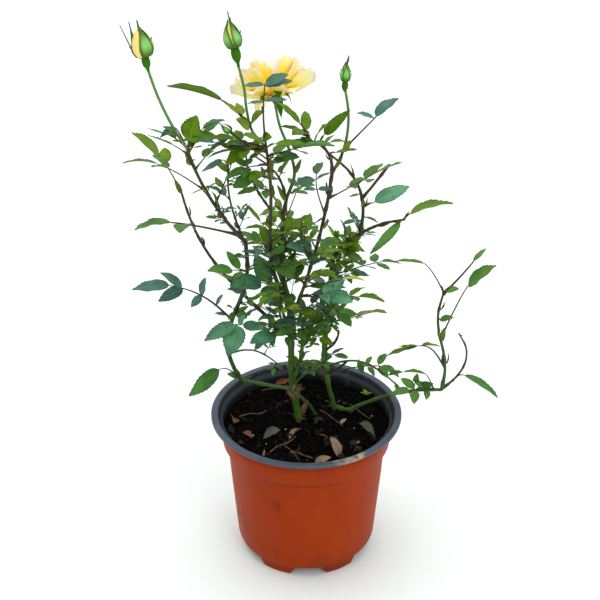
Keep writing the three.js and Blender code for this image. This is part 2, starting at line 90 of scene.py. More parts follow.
# Each leaf on a spray of the frame: its leaflets, the length of the end one in mm (with its breadth beside
# the usual), how far its blades are pitched towards the back and rolled towards the right in degrees, and
# its tint.
SPRAYS = {
    "top_left_fan": (5, 22, 4, -8, "fresh"),
    "top_right_fan": (5, 25, 4, 8, "mid"),
    "long_left_leaf": (1, (40, 0.46), 26, 24, "fresh"),
    "high_right_leaf": (3, (23, 0.62), -16, 22, "fresh"),
    "right_top_leaf": (2, 21, -28, -12, "blue"),
    "fork_reach_leaf": (5, 23, 4, 0, "mid"),
    "centre_leaf": (5, 16, -10, 0, "blue"),
    "stub_leaf": (1, (27, 0.9), -10, -8, "mint"),
    "far_right_leaf": (1, 31, -4, -10, "fresh"),
    "hanging_leaf": (1, (35, 0.38), -6, 50, "mid"),
    "right_back_spray": (7, 16, 5, 0, "deep"),
    "right_front_spray": (5, 19, 6, 0, "fresh"),
    "riser_top_leaf": (1, 13.5, -4, -30, "mid"),
    "riser_front_leaf": (1, (29, 0.78), -28, -18, "mid"),
    "rim_leaf": (5, 18, -24, 10, "mid"),
    "low_tip_leaf": (1, (30, 0.40), -12, 36, "deep"),
    "right_low_spray": (5, 15, -12, 0, "mid"),
    "low_left_leaf": (1, (33.5, 0.72), -44, -20, "deep"),
    "front_mid_spray": (3, 25, -40, -8, "teal"),
    "left_reach_leaf": (2, (27, 0.9), 2, 4, "mid"),
    "left_inner_leaf": (5, 16, 2, 0, "lime"),
    "left_top_leaf": (3, 16, 10, 0, "fresh"),
    "left_crown_leaf": (5, 18, 0, 12, "mid"),
    "arch_tip_spray": (2, (28, 0.9), -22, 4, "lime"),
    "back_spray": (3, 13, 0, 0, "deep"),
}
# What some of them have besides: how far the stalk arches, its thickness and how far the tip is moved from
# the frame's in mm, the cane and share along it where it starts, no teeth, hardly any stalk, leaflets square
# to the stalk, or a lone side leaflet that lies flat, is on the right, or has its own length and breadth.
ODD_SPRAYS = {
    "long_left_leaf": {"arch": 0.16, "thick": 0.95, "nudge": (2.5, 0, 1.3), "smooth": True},
    "high_right_leaf": {"arch": 0.1, "thick": 0.85},
    "right_top_leaf": {"thick": 0.8, "flat": True, "lone_size": (0.75, 1.0)},
    "fork_reach_leaf": {"thick": 0.6},
    "centre_leaf": {"square": True},
    "far_right_leaf": {"thick": 0.7},
    "hanging_leaf": {"arch": 0.02, "seat": ("right_reach", 1.0), "short": True},
    "riser_top_leaf": {"thick": 0.95, "nudge": (-2, 0, 3.4)},
    "riser_front_leaf": {"arch": 0.2, "thick": 0.7, "nudge": (-4.9, 0, -4.1)},
    "low_tip_leaf": {"arch": 0.22, "nudge": (1.8, 0, -3.5)},
    "right_low_spray": {"arch": 0.16},
    "low_left_leaf": {"arch": 0.34, "nudge": (-4.4, 0, -10)},
    "left_reach_leaf": {"thick": 0.9},
    "arch_tip_spray": {"thick": 0.6, "nudge": (2.5, 0, 1), "lone_side": 1, "lone_size": (0.58, 1.35)},
}

# Leaves that are set out leaflet by leaflet: how far up its stalk each stands, the way it points, its pitch
# and roll, its length in mm and how broad it is beside the usual.
KNOWN_LEAFLETS = {
    "bloom_leaf": (
        (1.00, (0.92, -0.05, 0.40), (-26, -22), 16, 1.0),
        (0.97, (0.97, -0.10, 0.20), (-6, -12), 18, 1.0),
        (0.985, (-0.98, -0.10, -0.05), (-4, 4), 14, 1.0),
        (0.74, (0.99, -0.05, 0.06), (2, -4), 15, 1.0),
        (0.72, (-0.98, -0.10, -0.06), (0, 6), 10, 1.0),
    ),
    "low_left_spray": (
        (1.00, (-26.0, -3.0, -1.7), (-12, 0), 26.5, 0.85),
        (0.82, (-14.6, -2.0, 13.2), (-15, -6), 19.8, 0.90),
        (0.80, (-17.6, -4.0, -8.0), (-34, -6), 19.8, 0.95),
        (0.54, (4.0, -1.0, 14.4), (-20, -10), 15.0, 0.95),
        (0.52, (-7.6, -3.0, -7.2), (-34, 0), 11.0, 1.05),
        (0.29, (5.4, -1.0, 9.1), (-16, -10), 10.6, 0.90),
        (0.10, (-8.0, -1.0, 1.6), (-10, 0), 8.5, 0.90),
    ),
    "front_left_spray": (
        (1.00, (-21.6, -8.0, -8.6), (-22, -6), 24.6, 0.95),
        (0.98, (-5.3, -16.0, -15.3), (-62, -4), 23.0, 1.25),
        (0.96, (4.5, -2.0, 7.8), (-30, 0), 10.0, 1.0),
        (0.88, (14.0, -4.0, -1.0), (-24, 6), 15.5, 1.0),
        (0.62, (3.0, -1.5, 5.0), (-10, 0), 7.5, 1.0),
    ),
    "riser_low_leaf": (
        (1.00, (-24.1, -3.0, -7.2), (8, 0), 25.3, 0.62),
        (0.98, (-15.0, -2.0, 0.4), (14, 0), 15.1, 0.60),
        (0.93, (14.3, -2.0, 0.4), (12, 0), 14.4, 0.55),
        (0.90, (6.0, -1.0, 3.0), (0, 0), 7.0, 0.80),
    ),
}
# Their stalks: the cane and share where each starts (none where the frame's spray says), its reach and bow in
# mm, its tint and its thickness. The bloom's leaf ends so far along its spray instead, moved aside a little.
KNOWN_STALKS = {
    "bloom_leaf": (None, (-5.6, 0, 0), (-1.4, 0, 0), "blue", 0.8),
    "low_left_spray": (("low_left_riser", 0.45), (-41.8, -11.0, 34.4), (1.4, 0, 5.2), "blue", 0.95),
    "front_left_spray": (None, (-37.2, -25.0, 22.1), (0, 0, 3.0), "teal", 0.6),
    "riser_low_leaf": (("low_right_riser", 0.22), (-20.2, 0, 19.5), (0, 0, 6.7), "fresh", 0.75),
}
BLOOM_LEAF_STALK = 0.89

# Leaves that no spray of the frame stands for, by the cane each grows on: how far along it, its reach from
# there in mm, then the same columns as above, and how far its stalk arches where that is more than usual.
LEAVES = (
    ("left_bud_cane", (
        (0.97, (8, -6, 26), 1, (21.5, 1.5), -52, -14, "lime"),
        (1.00, (-16, -6, 9.5), 1, (11, 0.75), -30, -20, "blue", 0.6),
        (0.92, (-26, -3, 15), 1, (18, 0.9), 16, 0, "fresh", 0.12),
        (1.00, (-13, -4, 16), 1, 10, -10, 0, "lime", 0.10),
        (1.00, (20, -6, 9), 1, 19, -14, 0, "fresh", 0.35),
        (1.00, (22, 2, 17), 1, 15, 8, 0, "blue", 0.20),
        (0.80, (20, 4, 18), 3, 15, 6, 0, "mid"),
        (0.58, (-52, 2, 19), 3, 23, 18, 0, "mid", 0.12),
        (0.60, (11, 0, 5), 1, 11, 10, 0, "mid"),
        (0.60, (-11, -2, -2), 1, 9, 6, 0, "mid"),
        (0.32, (-6, -5, 20), 1, 12, -10, 0, "mid"),
    )),
    # the flat fans at the top of the straight cane and round the young stalk
    ("straight_cane", (
        (0.98, (-54, -2, 7), 5, 22, 6, 0, "blue"),
        (0.98, (-29, -10, -6), 1, (19, 1.1), -26, -8, "lime", 0.20),
        (1.00, (-35, 4, 4), 5, 17, 4, 0, "fresh", 0.15),
        (1.00, (-14, -10, 11), 1, (19, 1.15), -16, -10, "lime"),
        (1.00, (24, -8, 7), 1, 20, -6, 10, "fresh"),
        (0.93, (20, -10, 4), 1, 18, -26, 16, "deep"),
        (0.90, (-29, -8, -7), 3, 14, -12, -6, "mid", 0.15),
        (0.86, (-13, -17, 1), 1, (12.5, 1.25), -45, -10, "lime"),
        (0.82, (-25, -6, -5), 1, (15, 1.15), -40, -20, "deep", 0.20),
        (0.74, (-21, -6, 1), 3, 15, -16, 0, "mid"),
        (0.84, (9, -4, 4), 1, 8, 0, 0, "fresh"),
    )),
    ("left_twig", ((0.98, (-19, -4, -4), 1, 16, -14, -15, "blue", 0.30),)),
    ("mid_bud_stalk", (
        (0.34, (-15, -3, 14), 3, 12, -10, 0, "young"),
        (0.30, (9, -5, 12), 1, (14, 1.15), -30, 10, "lime"),
        (0.24, (-9, -8, 10), 1, (13, 1.1), -40, 0, "young"),
        (0.12, (9, -8, 6), 1, (10, 1.3), -55, 12, "lime"),
    )),
    # the right bud and the arches
    ("top_arch", (
        (0.80, (20, -4, 25), 1, (26, 0.66), -30, 38, "fresh"),
        (0.72, (15, -6, 5), 3, 12, -6, 0, "mid"),
        (0.95, (-21, -2, 12), 3, 17, 8, 0, "fresh"),
        (0.90, (8, -8, 16), 1, 16, -10, -10, "lime"),
        (0.45, (20, -4, 4), 1, 16, 10, 0, "fresh"),
    )),
    ("right_bud_stalk", ((0.20, (6, -2, 13), 1, 9, -30, 20, "young"),)),
    ("bloom_stalk", (
        (0.42, (-16, -6, -3), 1, 17, -8, 0, "deep"),
        (0.06, (14, -6, 2), 3, 13, 6, 0, "mid"),
    )),
    ("right_arch", (
        (0.15, (-15, -5, 0), 3, 14, 4, 0, "blue"),
        (0.20, (11, -4, -3), 1, 10, 8, 0, "mid"),
        (0.45, (-9, -4, 0), 1, 8, 8, 0, "lime"),
    )),
    ("fork_cane", ((0.66, (-17, -8, -8), 1, 9, 0, 0, "fresh"),)),
    # the large leaves in front
    ("low_left_riser", (
        (0.80, (-26, -12, 8), 3, 21, -32, -8, "mid"),
        (0.88, (-9, -10, 9), 1, 13, -22, 0, "mid"),
        (0.47, (5, -4, 7), 1, 7, -20, 0, "mid"),
        (0.52, (-6, -6, 7), 1, 8, -20, -10, "mid"),
        (0.50, (9, -15, 4), 3, 15, -30, 8, "mid"),
    )),
    ("main_cane", (
        (0.66, (-27, -26, 2), 1, 23, -45, -12, "mint"),
        (0.80, (-13, -22, 12), 3, 17, -40, -10, "mid"),
    )),
    ("straight_cane", ((0.28, (8, -12, 20), 1, 19, -48, 15, "deep"),)),
    ("fork_cane", (
        (0.36, (-19, -15, 16), 3, 23, -26, -6, "blue"),
        (0.15, (-22, -12, 16), 1, 19, -30, 0, "mid"),
        (0.05, (35, -28, 13), 3, 22, -30, 4, "mint"),
        (0.12, (39, -20, 17), 1, 16, 16, 0, "gold"),
    )),
    ("right_cane", ((0.60, (41, -25, 24), 3, (23, 0.7), 18, 0, "young"),)),
    ("inner_shoot", (
        (0.85, (-4, -20, 12), 3, 17, -25, 0, "lime"),
        (0.62, (-18, -18, 6), 3, 16, -18, 0, "mid"),
        (0.58, (20, -16, 2), 5, 15, -15, 0, "fresh"),
    )),
    # the low leaves
    ("low_left_cane", ((0.94, (-12, -4, 8), 1, 10, -30, 0, "deep"),)),
    ("low_right_riser", (
        (1.00, (-30, -2, 25), 1, (20, 0.8), 20, 8, "fresh", 0.34),
        (1.00, (10, -4, 4), 1, 11, -30, 10, "mid"),
        (0.72, (10, -6, 6), 1, 14, -15, -20, "mid"),
    )),
    ("low_right_cane", (
        (0.76, (12, -6, 10), 1, (14.5, 1.0), -34, 6, "deep"),
        (0.74, (2, -4, 17), 1, 10, -34, 0, "deep"),
        (0.93, (-18, -4, 19), 1, (17, 0.8), 14, 0, "fresh", 0.25),
    )),
    ("leafy_twig", (
        (0.45, (4, -8, -8), 1, (15, 1.0), -50, -10, "deep", 0.2),
        (0.60, (-6, -6, 4), 1, (11, 0.9), -20, 0, "mid"),
        (0.72, (8, -4, 5), 1, 11, -20, 10, "mid"),
        (0.85, (12, -2, 4), 1, 12, -10, 0, "deep"),
        (0.98, (4, -4, -6), 1, 10, -30, 0, "mid"),
    )),
    ("right_cane", (
        (0.40, (16, -12, 5), 3, 12, -8, 0, "deep"),
        (0.35, (-10, -14, 2), 3, 11, -20, 0, "mid"),
    )),
)

# Where more leaves stand by rule along a cane or twig: between which shares, how many, their reach and
# leaflet size in mm.
ROWS = {
    "main_cane": (0.55, 0.98, 6, 33, 18),
    "straight_cane": (0.05, 0.50, 7, 27, 16),
    "centre_cane": (0.1, 0.55, 5, 28, 16),
    "fork_cane": (0.05, 0.50, 8, 28, 16),
    "left_arch": (0.05, 0.32, 4, 26, 16),
    "low_left_riser": (0.5, 0.9, 3, 22, 15),
    "right_cane": (0.5, 0.98, 7, 29, 16),
    "right_reach": (0.1, 0.5, 4, 22, 14),
    "inner_shoot": (0.35, 0.95, 7, 29, 17),
    "left_bud_cane": (0.05, 0.4, 3, 18, 12),
    "left_twig": (0.2, 0.9, 3, 17, 13),
    "inner_left_twig": (0.3, 1.0, 3, 18, 14),
    "centre_twig": (0.3, 0.6, 1, 14, 11),
    "low_left_twig": (0.5, 0.95, 2, 13, 9),
    "back_left_twig": (0.3, 1.0, 5, 26, 17),
    "back_mid_twig": (0.3, 1.0, 5, 26, 17),
    "back_right_twig": (0.3, 1.0, 5, 26, 16),
    "young_shoot": (0.4, 1.0, 4, 15, 10),
    "young_side_shoot": (0.5, 1.0, 3, 13, 9),
    "front_left_twig": (0.3, 1.0, 5, 25, 18),
    "front_right_twig": (0.3, 1.0, 5, 24, 17),
    "front_high_twig": (0.4, 1.0, 3, 20, 14),
}
# Masses of leaves: how many leaves fill each, and the least and most length of their leaflets in mm.
CLUMPS = {"heart_clump": (24, 12, 19), "right_clump": (20, 10, 16), "lower_clump": (18, 12, 19)}

# Canes that carry narrow bracts at their joints.
BRACTED = (
    "straight_cane", "left_bud_cane", "fork_cane", "top_arch", "right_arch", "centre_cane", "left_arch",
    "right_cane", "right_reach", "low_right_riser",
)

# Broad sheaths round the joints of the canes: the cane and how far along it, the way the sheath points, its
# length in mm and how broad it is beside a common bract.
FACING_OUT = Vector((0.0, -1.0, 0.35)).normalized()
SHEATHS = (
    ("left_arch", 0.99, (-0.40, -0.1, 1.0), 13, 1.5),
    ("left_arch", 0.78, (-0.25, -0.1, 1.0), 9, 1.4),
    ("left_bud_cane", 0.36, (-0.25, -0.1, 1.0), 11, 1.4),
    ("left_bud_cane", 0.84, (-0.55, -0.1, 1.0), 11, 1.7),
    ("straight_cane", 0.80, (0.0, -0.1, 1.0), 12, 2.1),
    ("bloom_stalk", 0.26, (0.40, -0.1, 1.0), 13, 1.4),
    ("centre_cane", 0.96, (-0.45, -0.1, 1.0), 15, 1.2),
    ("low_right_riser", 0.50, (0.15, -0.1, 1.0), 13, 1.5),
    ("right_bud_stalk", 0.06, (0.55, -0.1, 1.0), 11, 1.4),
)

# Twigs too slight for the frame: the cane each grows on and how far along, its reach and bow in mm, its
# radius, and how ripe it is.
TWIGS = {
    "left_twig": ("left_bud_cane", 0.02, (-9, -5, 58), (-4, 0, 2), 0.75, 0.72),
    "inner_left_twig": ("straight_cane", 0.62, (-16, 2, 40), (-4, 0, 1), 0.75, 0.80),
    "centre_twig": ("centre_cane", 0.98, (-20, -4, 34), (4, 0, 3), 0.80, 0.75),
    "low_left_twig": ("low_left_riser", 0.20, (40, -8, -8), (0, 0, 9), 0.65, 0.35),
    "leafy_twig": ("right_cane", 0.32, (52, -14, -6), (0, 0, 12), 0.75, 0.40),
    "snapped_twig": ("right_cane", 0.28, (15, -6, 14), (0, 0, -2), 1.05, 0.75),
    "snapped_tip": ("right_cane", 0.42, (10, -7, 22), (3, 0, 0), 0.95, 0.90),
    "dark_bud_twig": ("straight_cane", 0.93, (-21, 0, 17), (-4, 0, 3), 0.50, 0.90),
    "back_left_twig": ("main_cane", 0.88, (-14, 48, 20), (-3, 2, 6), 0.95, 0.50),
    "back_mid_twig": ("centre_cane", 0.12, (2, 50, 20), (0, 6, 4), 0.95, 0.60),
    "back_right_twig": ("right_cane", 0.84, (6, 38, 16), (4, 4, 4), 0.95, 0.55),
    "root_bend": ("right_cane", 0.06, (14.5, -4.0, -0.5), (0, 0, -1.2), 1.45, 0.05),
    "young_shoot": ("main_cane", 0.25, (9, -8, 36), (-2, -2, 0), 0.95, 0.05),
    "young_side_shoot": ("main_cane", 0.27, (18, -8, 22), (-1, -2, 2), 0.75, 0.10),
    "front_left_twig": ("main_cane", 0.62, (-8, -42, 62), (-3, -4, -2), 0.85, 0.45),
    "front_right_twig": ("right_cane", 0.52, (4, -44, 66), (3, -5, -2), 0.85, 0.45),
    "front_high_twig": ("fork_cane", 0.34, (-8, -36, 46), (-3, -4, 0), 0.75, 0.60),
}

# ---- Stocks of loose geometry, each joined into one piece ----


class Stock:
    """Points, faces, map places and ripeness of one finish, gathered until its piece is made."""

    def __init__(self):
        self.points, self.faces, self.places, self.tones, self.count = [], [], [], [], 0

    def add(self, points, faces, places=None, tones=0.0):
        points = np.asarray(points, float).reshape(-1, 3)
        total = len(points)
        self.points.append(points)
        self.faces.extend(tuple(self.count + i for i in face) for face in faces)
        places = np.zeros((total, 2)) if places is None else np.asarray(places, float)
        self.places.append(places.reshape(-1, 2))
        self.tones.append(np.broadcast_to(np.asarray(tones, float).reshape(-1), (total,)))
        self.count += total

    def mesh(self, name, material=None):
        mesh = bpy.data.meshes.new(name)
        mesh.from_pydata(np.concatenate(self.points).tolist(), [], self.faces, shade_flat=False)
        turn_outwards(mesh)
        corners = np.zeros(len(mesh.loops), int)
        mesh.loops.foreach_get("vertex_index", corners)
        layer = mesh.uv_layers.new(name="places")
        layer.data.foreach_set("uv", np.concatenate(self.places)[corners].reshape(-1).astype(np.float32))
        tone = mesh.attributes.new("tone", "FLOAT", "POINT")
        tone.data.foreach_set("value", np.concatenate(self.tones).astype(np.float32))
        return mesh


def turn_outwards(mesh):
    work = bmesh.new()
    work.from_mesh(mesh)
    bmesh.ops.recalc_face_normals(work, faces=work.faces)
    work.to_mesh(mesh)
    work.free()


def place(name, made, material, slot, *nodes):
    """A finished piece: it rides on the one body, stands for its nodes and takes the given finish; its slot
    is not used.
    """
    mesh = made if isinstance(made, bpy.types.Mesh) else made.mesh(name, material)
    piece = bpy.data.objects.new(name, mesh)
    bpy.context.scene.collection.objects.link(piece)
    mesh.materials.clear()
    mesh.materials.append(material)
    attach(piece, "root")
    if nodes:
        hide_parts(*nodes)


def strip_faces(rows, across, closed=True):
    """Quads over rows of points, each row of the same number, run round when closed."""
    faces = []
    span = across if closed else across - 1
    for row in range(rows - 1):
        for i in range(span):
            j = (i + 1) % across
            low, high = row * across, (row + 1) * across
            faces.append((low + i, low + j, high + j, high + i))
    return faces


def sheet(stock, grid, thick, places, tones=0.0):
    """A thin closed blade over a grid of points, thick along its own normals."""
    rows, across = grid.shape[:2]
    down = np.gradient(grid, axis=0)
    over = np.gradient(grid, axis=1)
    normal = np.cross(over, down)
    normal /= np.maximum(np.linalg.norm(normal, axis=2, keepdims=True), 1e-12)
    total = rows * across
    points = np.concatenate([(grid + normal * side).reshape(-1, 3) for side in (thick / 2, -thick / 2)])
    top = strip_faces(rows, across, closed=False)
    faces = top + [tuple(total + i for i in reversed(face)) for face in top]
    rim = [*range(across)]
    rim += [row * across + across - 1 for row in range(1, rows)]
    rim += [(rows - 1) * across + i for i in range(across - 2, -1, -1)]
    rim += [row * across for row in range(rows - 2, 0, -1)]
    for a, b in zip(rim, rim[1:] + rim[:1]):
        faces.append((a, b, total + b, total + a))
    stock.add(points, faces, np.concatenate([places.reshape(-1, 2)] * 2), tones)


def frames_along(points):
    """Unit vectors along, across and over a row of points, turned as little as may be."""
    points = np.asarray(points, float)
    along = np.gradient(points, axis=0)
    along /= np.linalg.norm(along, axis=1, keepdims=True)
    first = np.array([0.3, 1.0, 0.2]) if abs(along[0][1]) < 0.9 else np.array([1.0, 0, 0.2])
    across = [first - along[0] * (first @ along[0])]
    for direction in along[1:]:
        across.append(across[-1] - direction * (across[-1] @ direction))
        across[-1] /= np.linalg.norm(across[-1])
    across[0] /= np.linalg.norm(across[0])
    across = np.array(across)
    return along, across, np.cross(along, across)


# The bark's relief: how fine it is from place to place, how much it changes outwards and round the limb,
# and how far it is drawn out upwards.
BARK_GRAIN, BARK_OUT, BARK_ROUND, BARK_DRAWN = 420, 1.1, 9, 0.22


def tube(stock, points, radii, sides=6, relief=0.0, tones=0.0, cut=False):
    """A closed tube along points, with its bark raised and sunk by the relief, round or cut at its tip."""
    points = np.asarray(points, float)
    radii = np.broadcast_to(np.asarray(radii, float), (len(points),)).copy()
    tones = np.broadcast_to(np.asarray(tones, float), (len(points),)).copy()
    along, across, over = frames_along(points)
    steps = np.concatenate([[0], np.cumsum(np.linalg.norm(np.diff(points, axis=0), axis=1))])
    if not cut:
        blunt = radii[-1]
        for step, size in ((0.75, 0.6), (0.2, 0.25)):
            points = np.vstack([points, points[-1] + along[-1] * blunt * step])
            radii = np.append(radii, blunt * size)
            tones = np.append(tones, tones[-1])
            along, across, over = (np.vstack([f, f[-1]]) for f in (along, across, over))
        steps = np.append(steps, [steps[-1], steps[-1]])
    rows = []
    for i, centre in enumerate(points):
        for side in range(sides):
            angle = 2 * math.pi * side / sides
            c, s = math.cos(angle), math.sin(angle)
            radius = radii[i]
            if relief:
                spot = centre * BARK_GRAIN + (across[i] * c + over[i] * s) * BARK_OUT
                fine = Vector((spot[0] + BARK_ROUND * c, spot[1] + BARK_ROUND * s, spot[2] * BARK_DRAWN))
                radius *= 1 + relief * noise.noise(fine)
            rows.append(centre + (across[i] * c + over[i] * s) * radius)
    count = len(points)
    faces = strip_faces(count, sides)
    faces.append(tuple(reversed(range(sides))))
    faces.append(tuple((count - 1) * sides + i for i in range(sides)))
    places = [(side / sides, step) for step in steps for side in range(sides)]
    stock.add(rows, faces, places, np.repeat(tones, sides))


# ---- Limb lines, read from the frame's own solids ----


def corners_of(node):
    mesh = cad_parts[node].data
    flat = np.zeros(len(mesh.vertices) * 3)
    mesh.vertices.foreach_get("co", flat)
    return np.unique(np.round(flat.reshape(-1, 3), 6), axis=0)


def rings_of(node, apart):
    """The rings of points that a long solid is made of, from end to end."""
    points = corners_of(node)
    far = points[np.argmax(np.linalg.norm(points - points.mean(0), axis=1))]
    end = points[np.argmax(np.linalg.norm(points - far, axis=1))]
    share = (points - far) @ (end - far) / np.linalg.norm(end - far)
    order = np.argsort(share)
    return np.split(points[order], np.where(np.diff(share[order]) > apart)[0] + 1)


class Line:
    """A smooth line through points, with a radius along it."""

    def __init__(self, points, radii, pace=1.6 * MM):
        points = np.asarray(points, float)
        ghost = np.vstack([2 * points[0] - points[1], points, 2 * points[-1] - points[-2]])
        fine, thick = [], []
        for i in range(len(points) - 1):
            a, b, c, d = ghost[i : i + 4]
            steps = max(2, int(round(np.linalg.norm(c - b) / pace)))
            for t in np.arange(steps) / steps:
                bow = (2 * a - 5 * b + 4 * c - d) * t**2 + (3 * b - a - 3 * c + d) * t**3
                fine.append(0.5 * (2 * b + (c - a) * t + bow))
                thick.append(radii[i] + (radii[i + 1] - radii[i]) * t)
        self.points = np.array(fine + [points[-1]])
        self.radii = np.array(thick + [radii[-1]])
        steps = np.linalg.norm(np.diff(self.points, axis=0), axis=1)
        self.shares = np.concatenate([[0], np.cumsum(steps)])
        self.length = self.shares[-1]
        self.shares /= self.length

    def at(self, share):
        return Vector([np.interp(share, self.shares, self.points[:, i]) for i in range(3)])

    def along(self, share):
        low, high = max(0, share - 0.02), min(1, share + 0.02)
        return (self.at(high) - self.at(low)).normalized()

    def radius(self, share):
        return float(np.interp(share, self.shares, self.radii))

    def nearest(self, point):
        far = np.linalg.norm(self.points - np.array(point), axis=1)
        i = int(np.argmin(far))
        return self.shares[i], far[i]


def read_cane(node, parent):
    groups = rings_of(node, 4 * MM)
    middles = [g.mean(0) for g in groups]
    sizes = [float(np.median(np.linalg.norm(g - m, axis=1))) for g, m in zip(groups, middles)]
    if parent == "soil":
        turned = middles[0][2] > middles[-1][2]
    else:
        turned = lines[parent].nearest(middles[0])[1] > lines[parent].nearest(middles[-1])[1]
    if turned:
        middles.reverse()
        sizes.reverse()
    if parent == "soil":
        middles[0] = middles[0] - np.array([0, 0, 4 * MM])
        sizes[0] = sizes[1]
    else:
        share = lines[parent].nearest(middles[0])[0]
        middles[0] = np.array(lines[parent].at(share))
        sizes[0] = sizes[1] * 1.12
        if np.linalg.norm(middles[0] - middles[1]) < 3 * MM:
            del middles[1], sizes[1]
    return Line(middles, sizes)


lines = {}
for cane_name, (grows_from, *_) in CANES.items():
    lines[cane_name] = read_cane(cane_name, grows_from)


def seat_of(point):
    """The cane nearest a point, and the share along it."""
    name = min(lines, key=lambda n: lines[n].nearest(point)[1])
    return name, lines[name].nearest(point)[0]


# ---- Finishes ----


class Value:
    """An output of a finish's tree, which can be added, taken away and multiplied like a number."""

    def __init__(self, finish, socket):
        self.finish, self.socket = finish, socket

    def __add__(self, other):
        return self.finish.maths("ADD", self, other)

    def __sub__(self, other):
        return self.finish.maths("SUBTRACT", self, other)

    def __mul__(self, other):
        return self.finish.maths("MULTIPLY", self, other)

    def __abs__(self):
        return self.finish.maths("ABSOLUTE", self)


class Finish:
    """A material built up node by node from the object's own coordinates, map or ripeness."""

    def __init__(self, name, roughness=0.5, specular=0.5):
        self.material = bpy.data.materials.new(name)
        self.material.use_nodes = True
        self.tree = self.material.node_tree
        self.shader = self.tree.nodes["Principled BSDF"]
        self.shader.inputs["Roughness"].default_value = roughness
        self.shader.inputs["Specular IOR Level"].default_value = specular
        self.object = self.out("Object", "TexCoord")

    def join(self, value, socket):
        if isinstance(value, Value):
            self.tree.links.new(value.socket, socket)
        else:
            socket.default_value = value

    def put(self, kind, settings=None, **inputs):
        node = self.tree.nodes.new("ShaderNode" + kind)
        for key, value in (settings or {}).items():
            setattr(node, key, value)
        for key, value in inputs.items():
            self.join(value, node.inputs[key.replace("_", " ")])
        return node

    def out(self, output, kind, settings=None, **inputs):
        return Value(self, self.put(kind, settings, **inputs).outputs[output])

    def maths(self, operation, a, b=0.0):
        node = self.put("Math", {"operation": operation})
        self.join(a, node.inputs[0])
        self.join(b, node.inputs[1])
        return Value(self, node.outputs[0])

    def noise(self, scale, detail=3, rough=0.55, source=None, stretch=None):
        vector = source or self.object
        if stretch:
            vector = self.out("Vector", "Mapping", Vector=vector, Scale=stretch)
        return self.out("Fac", "TexNoise", Vector=vector, Scale=scale, Detail=detail, Roughness=rough)

    def cells(self, scale):
        return self.out("Distance", "TexVoronoi", Vector=self.object, Scale=scale)

    def reach(self, x, y, z):
        """How far a point of the surface is from a spot given in mm."""
        node = self.put("VectorMath", {"operation": "DISTANCE"}, Vector=self.object)
        node.inputs[1].default_value = (x * MM, y * MM, z * MM)
        return Value(self, node.outputs["Value"])

    def between(self, value, low, high, start=0.0, end=1.0):
        ends = {"From_Min": low, "From_Max": high, "To_Min": start, "To_Max": end}
        return self.out("Result", "MapRange", Value=value, **ends)

    def ramp(self, value, *stops):
        node = self.put("ValToRGB", Fac=value)
        elements = node.color_ramp.elements
        while len(elements) < len(stops):
            elements.new(0.5)
        for element, (position, colour) in zip(elements, stops):
            element.position = position
            element.color = (*colour, 1)
        return Value(self, node.outputs["Color"])

    def mix(self, share, a, b):
        node = self.put("MixRGB")
        for value, socket in zip((share, a, b), node.inputs):
            self.join((*value, 1) if isinstance(value, tuple) else value, socket)
        return Value(self, node.outputs["Color"])

    def split(self, vector):
        return [Value(self, socket) for socket in self.put("SeparateXYZ", Vector=vector).outputs]

    def attribute(self, name):
        return self.out("Fac", "Attribute", {"attribute_name": name})

    def places(self):
        return self.out("UV", "UVMap", {"uv_map": "places"})

    def set(self, **sockets):
        """Joins values to the shader's own sockets, or sets them there."""
        for key, value in sockets.items():
            self.join(value, self.shader.inputs[key.replace("_", " ")])

    def bump(self, height, strength, distance):
        self.set(Normal=self.out("Normal", "Bump", Height=height, Strength=strength, Distance=distance))
        return self.material


def shade(colour, times, lift=0.0):
    return tuple(min(1.0, times * c + lift) for c in colour)


def blend(a, b, share):
    return tuple((1 - share) * x + share * y for x, y in zip(a, b))


# The orange plastic's own tints and marks, except the near-black red band along the step, which is painted
# shade.
CLAY = {
    "deep": (0.270, 0.026, 0.001), "bright": (0.330, 0.037, 0.002), "streak": (0.220, 0.024, 0.005),
    "scuff": (0.42, 0.13, 0.06), "foot": (0.085, 0.018, 0.008), "painted_step_shade": (0.060, 0.009, 0.002),
    "spot": (0.045, 0.010, 0.004), "speck": (0.05, 0.012, 0.008),
}
# Stains on the pot's side: the middle of each and its reach, in mm.
POT_SPOTS = (
    (-20, -50, 68, 8), (-30, -44, 74, 5), (26, -50, 80, 2), (52, -20, 62, 2.4), (-48, -20, 40, 6),
    (-43, -28, 32, 7), (40, 40, 60, 8),
)
# The height of the step under the collar, where a band of painted shade is laid.
STEP_HEIGHT = 0.0908


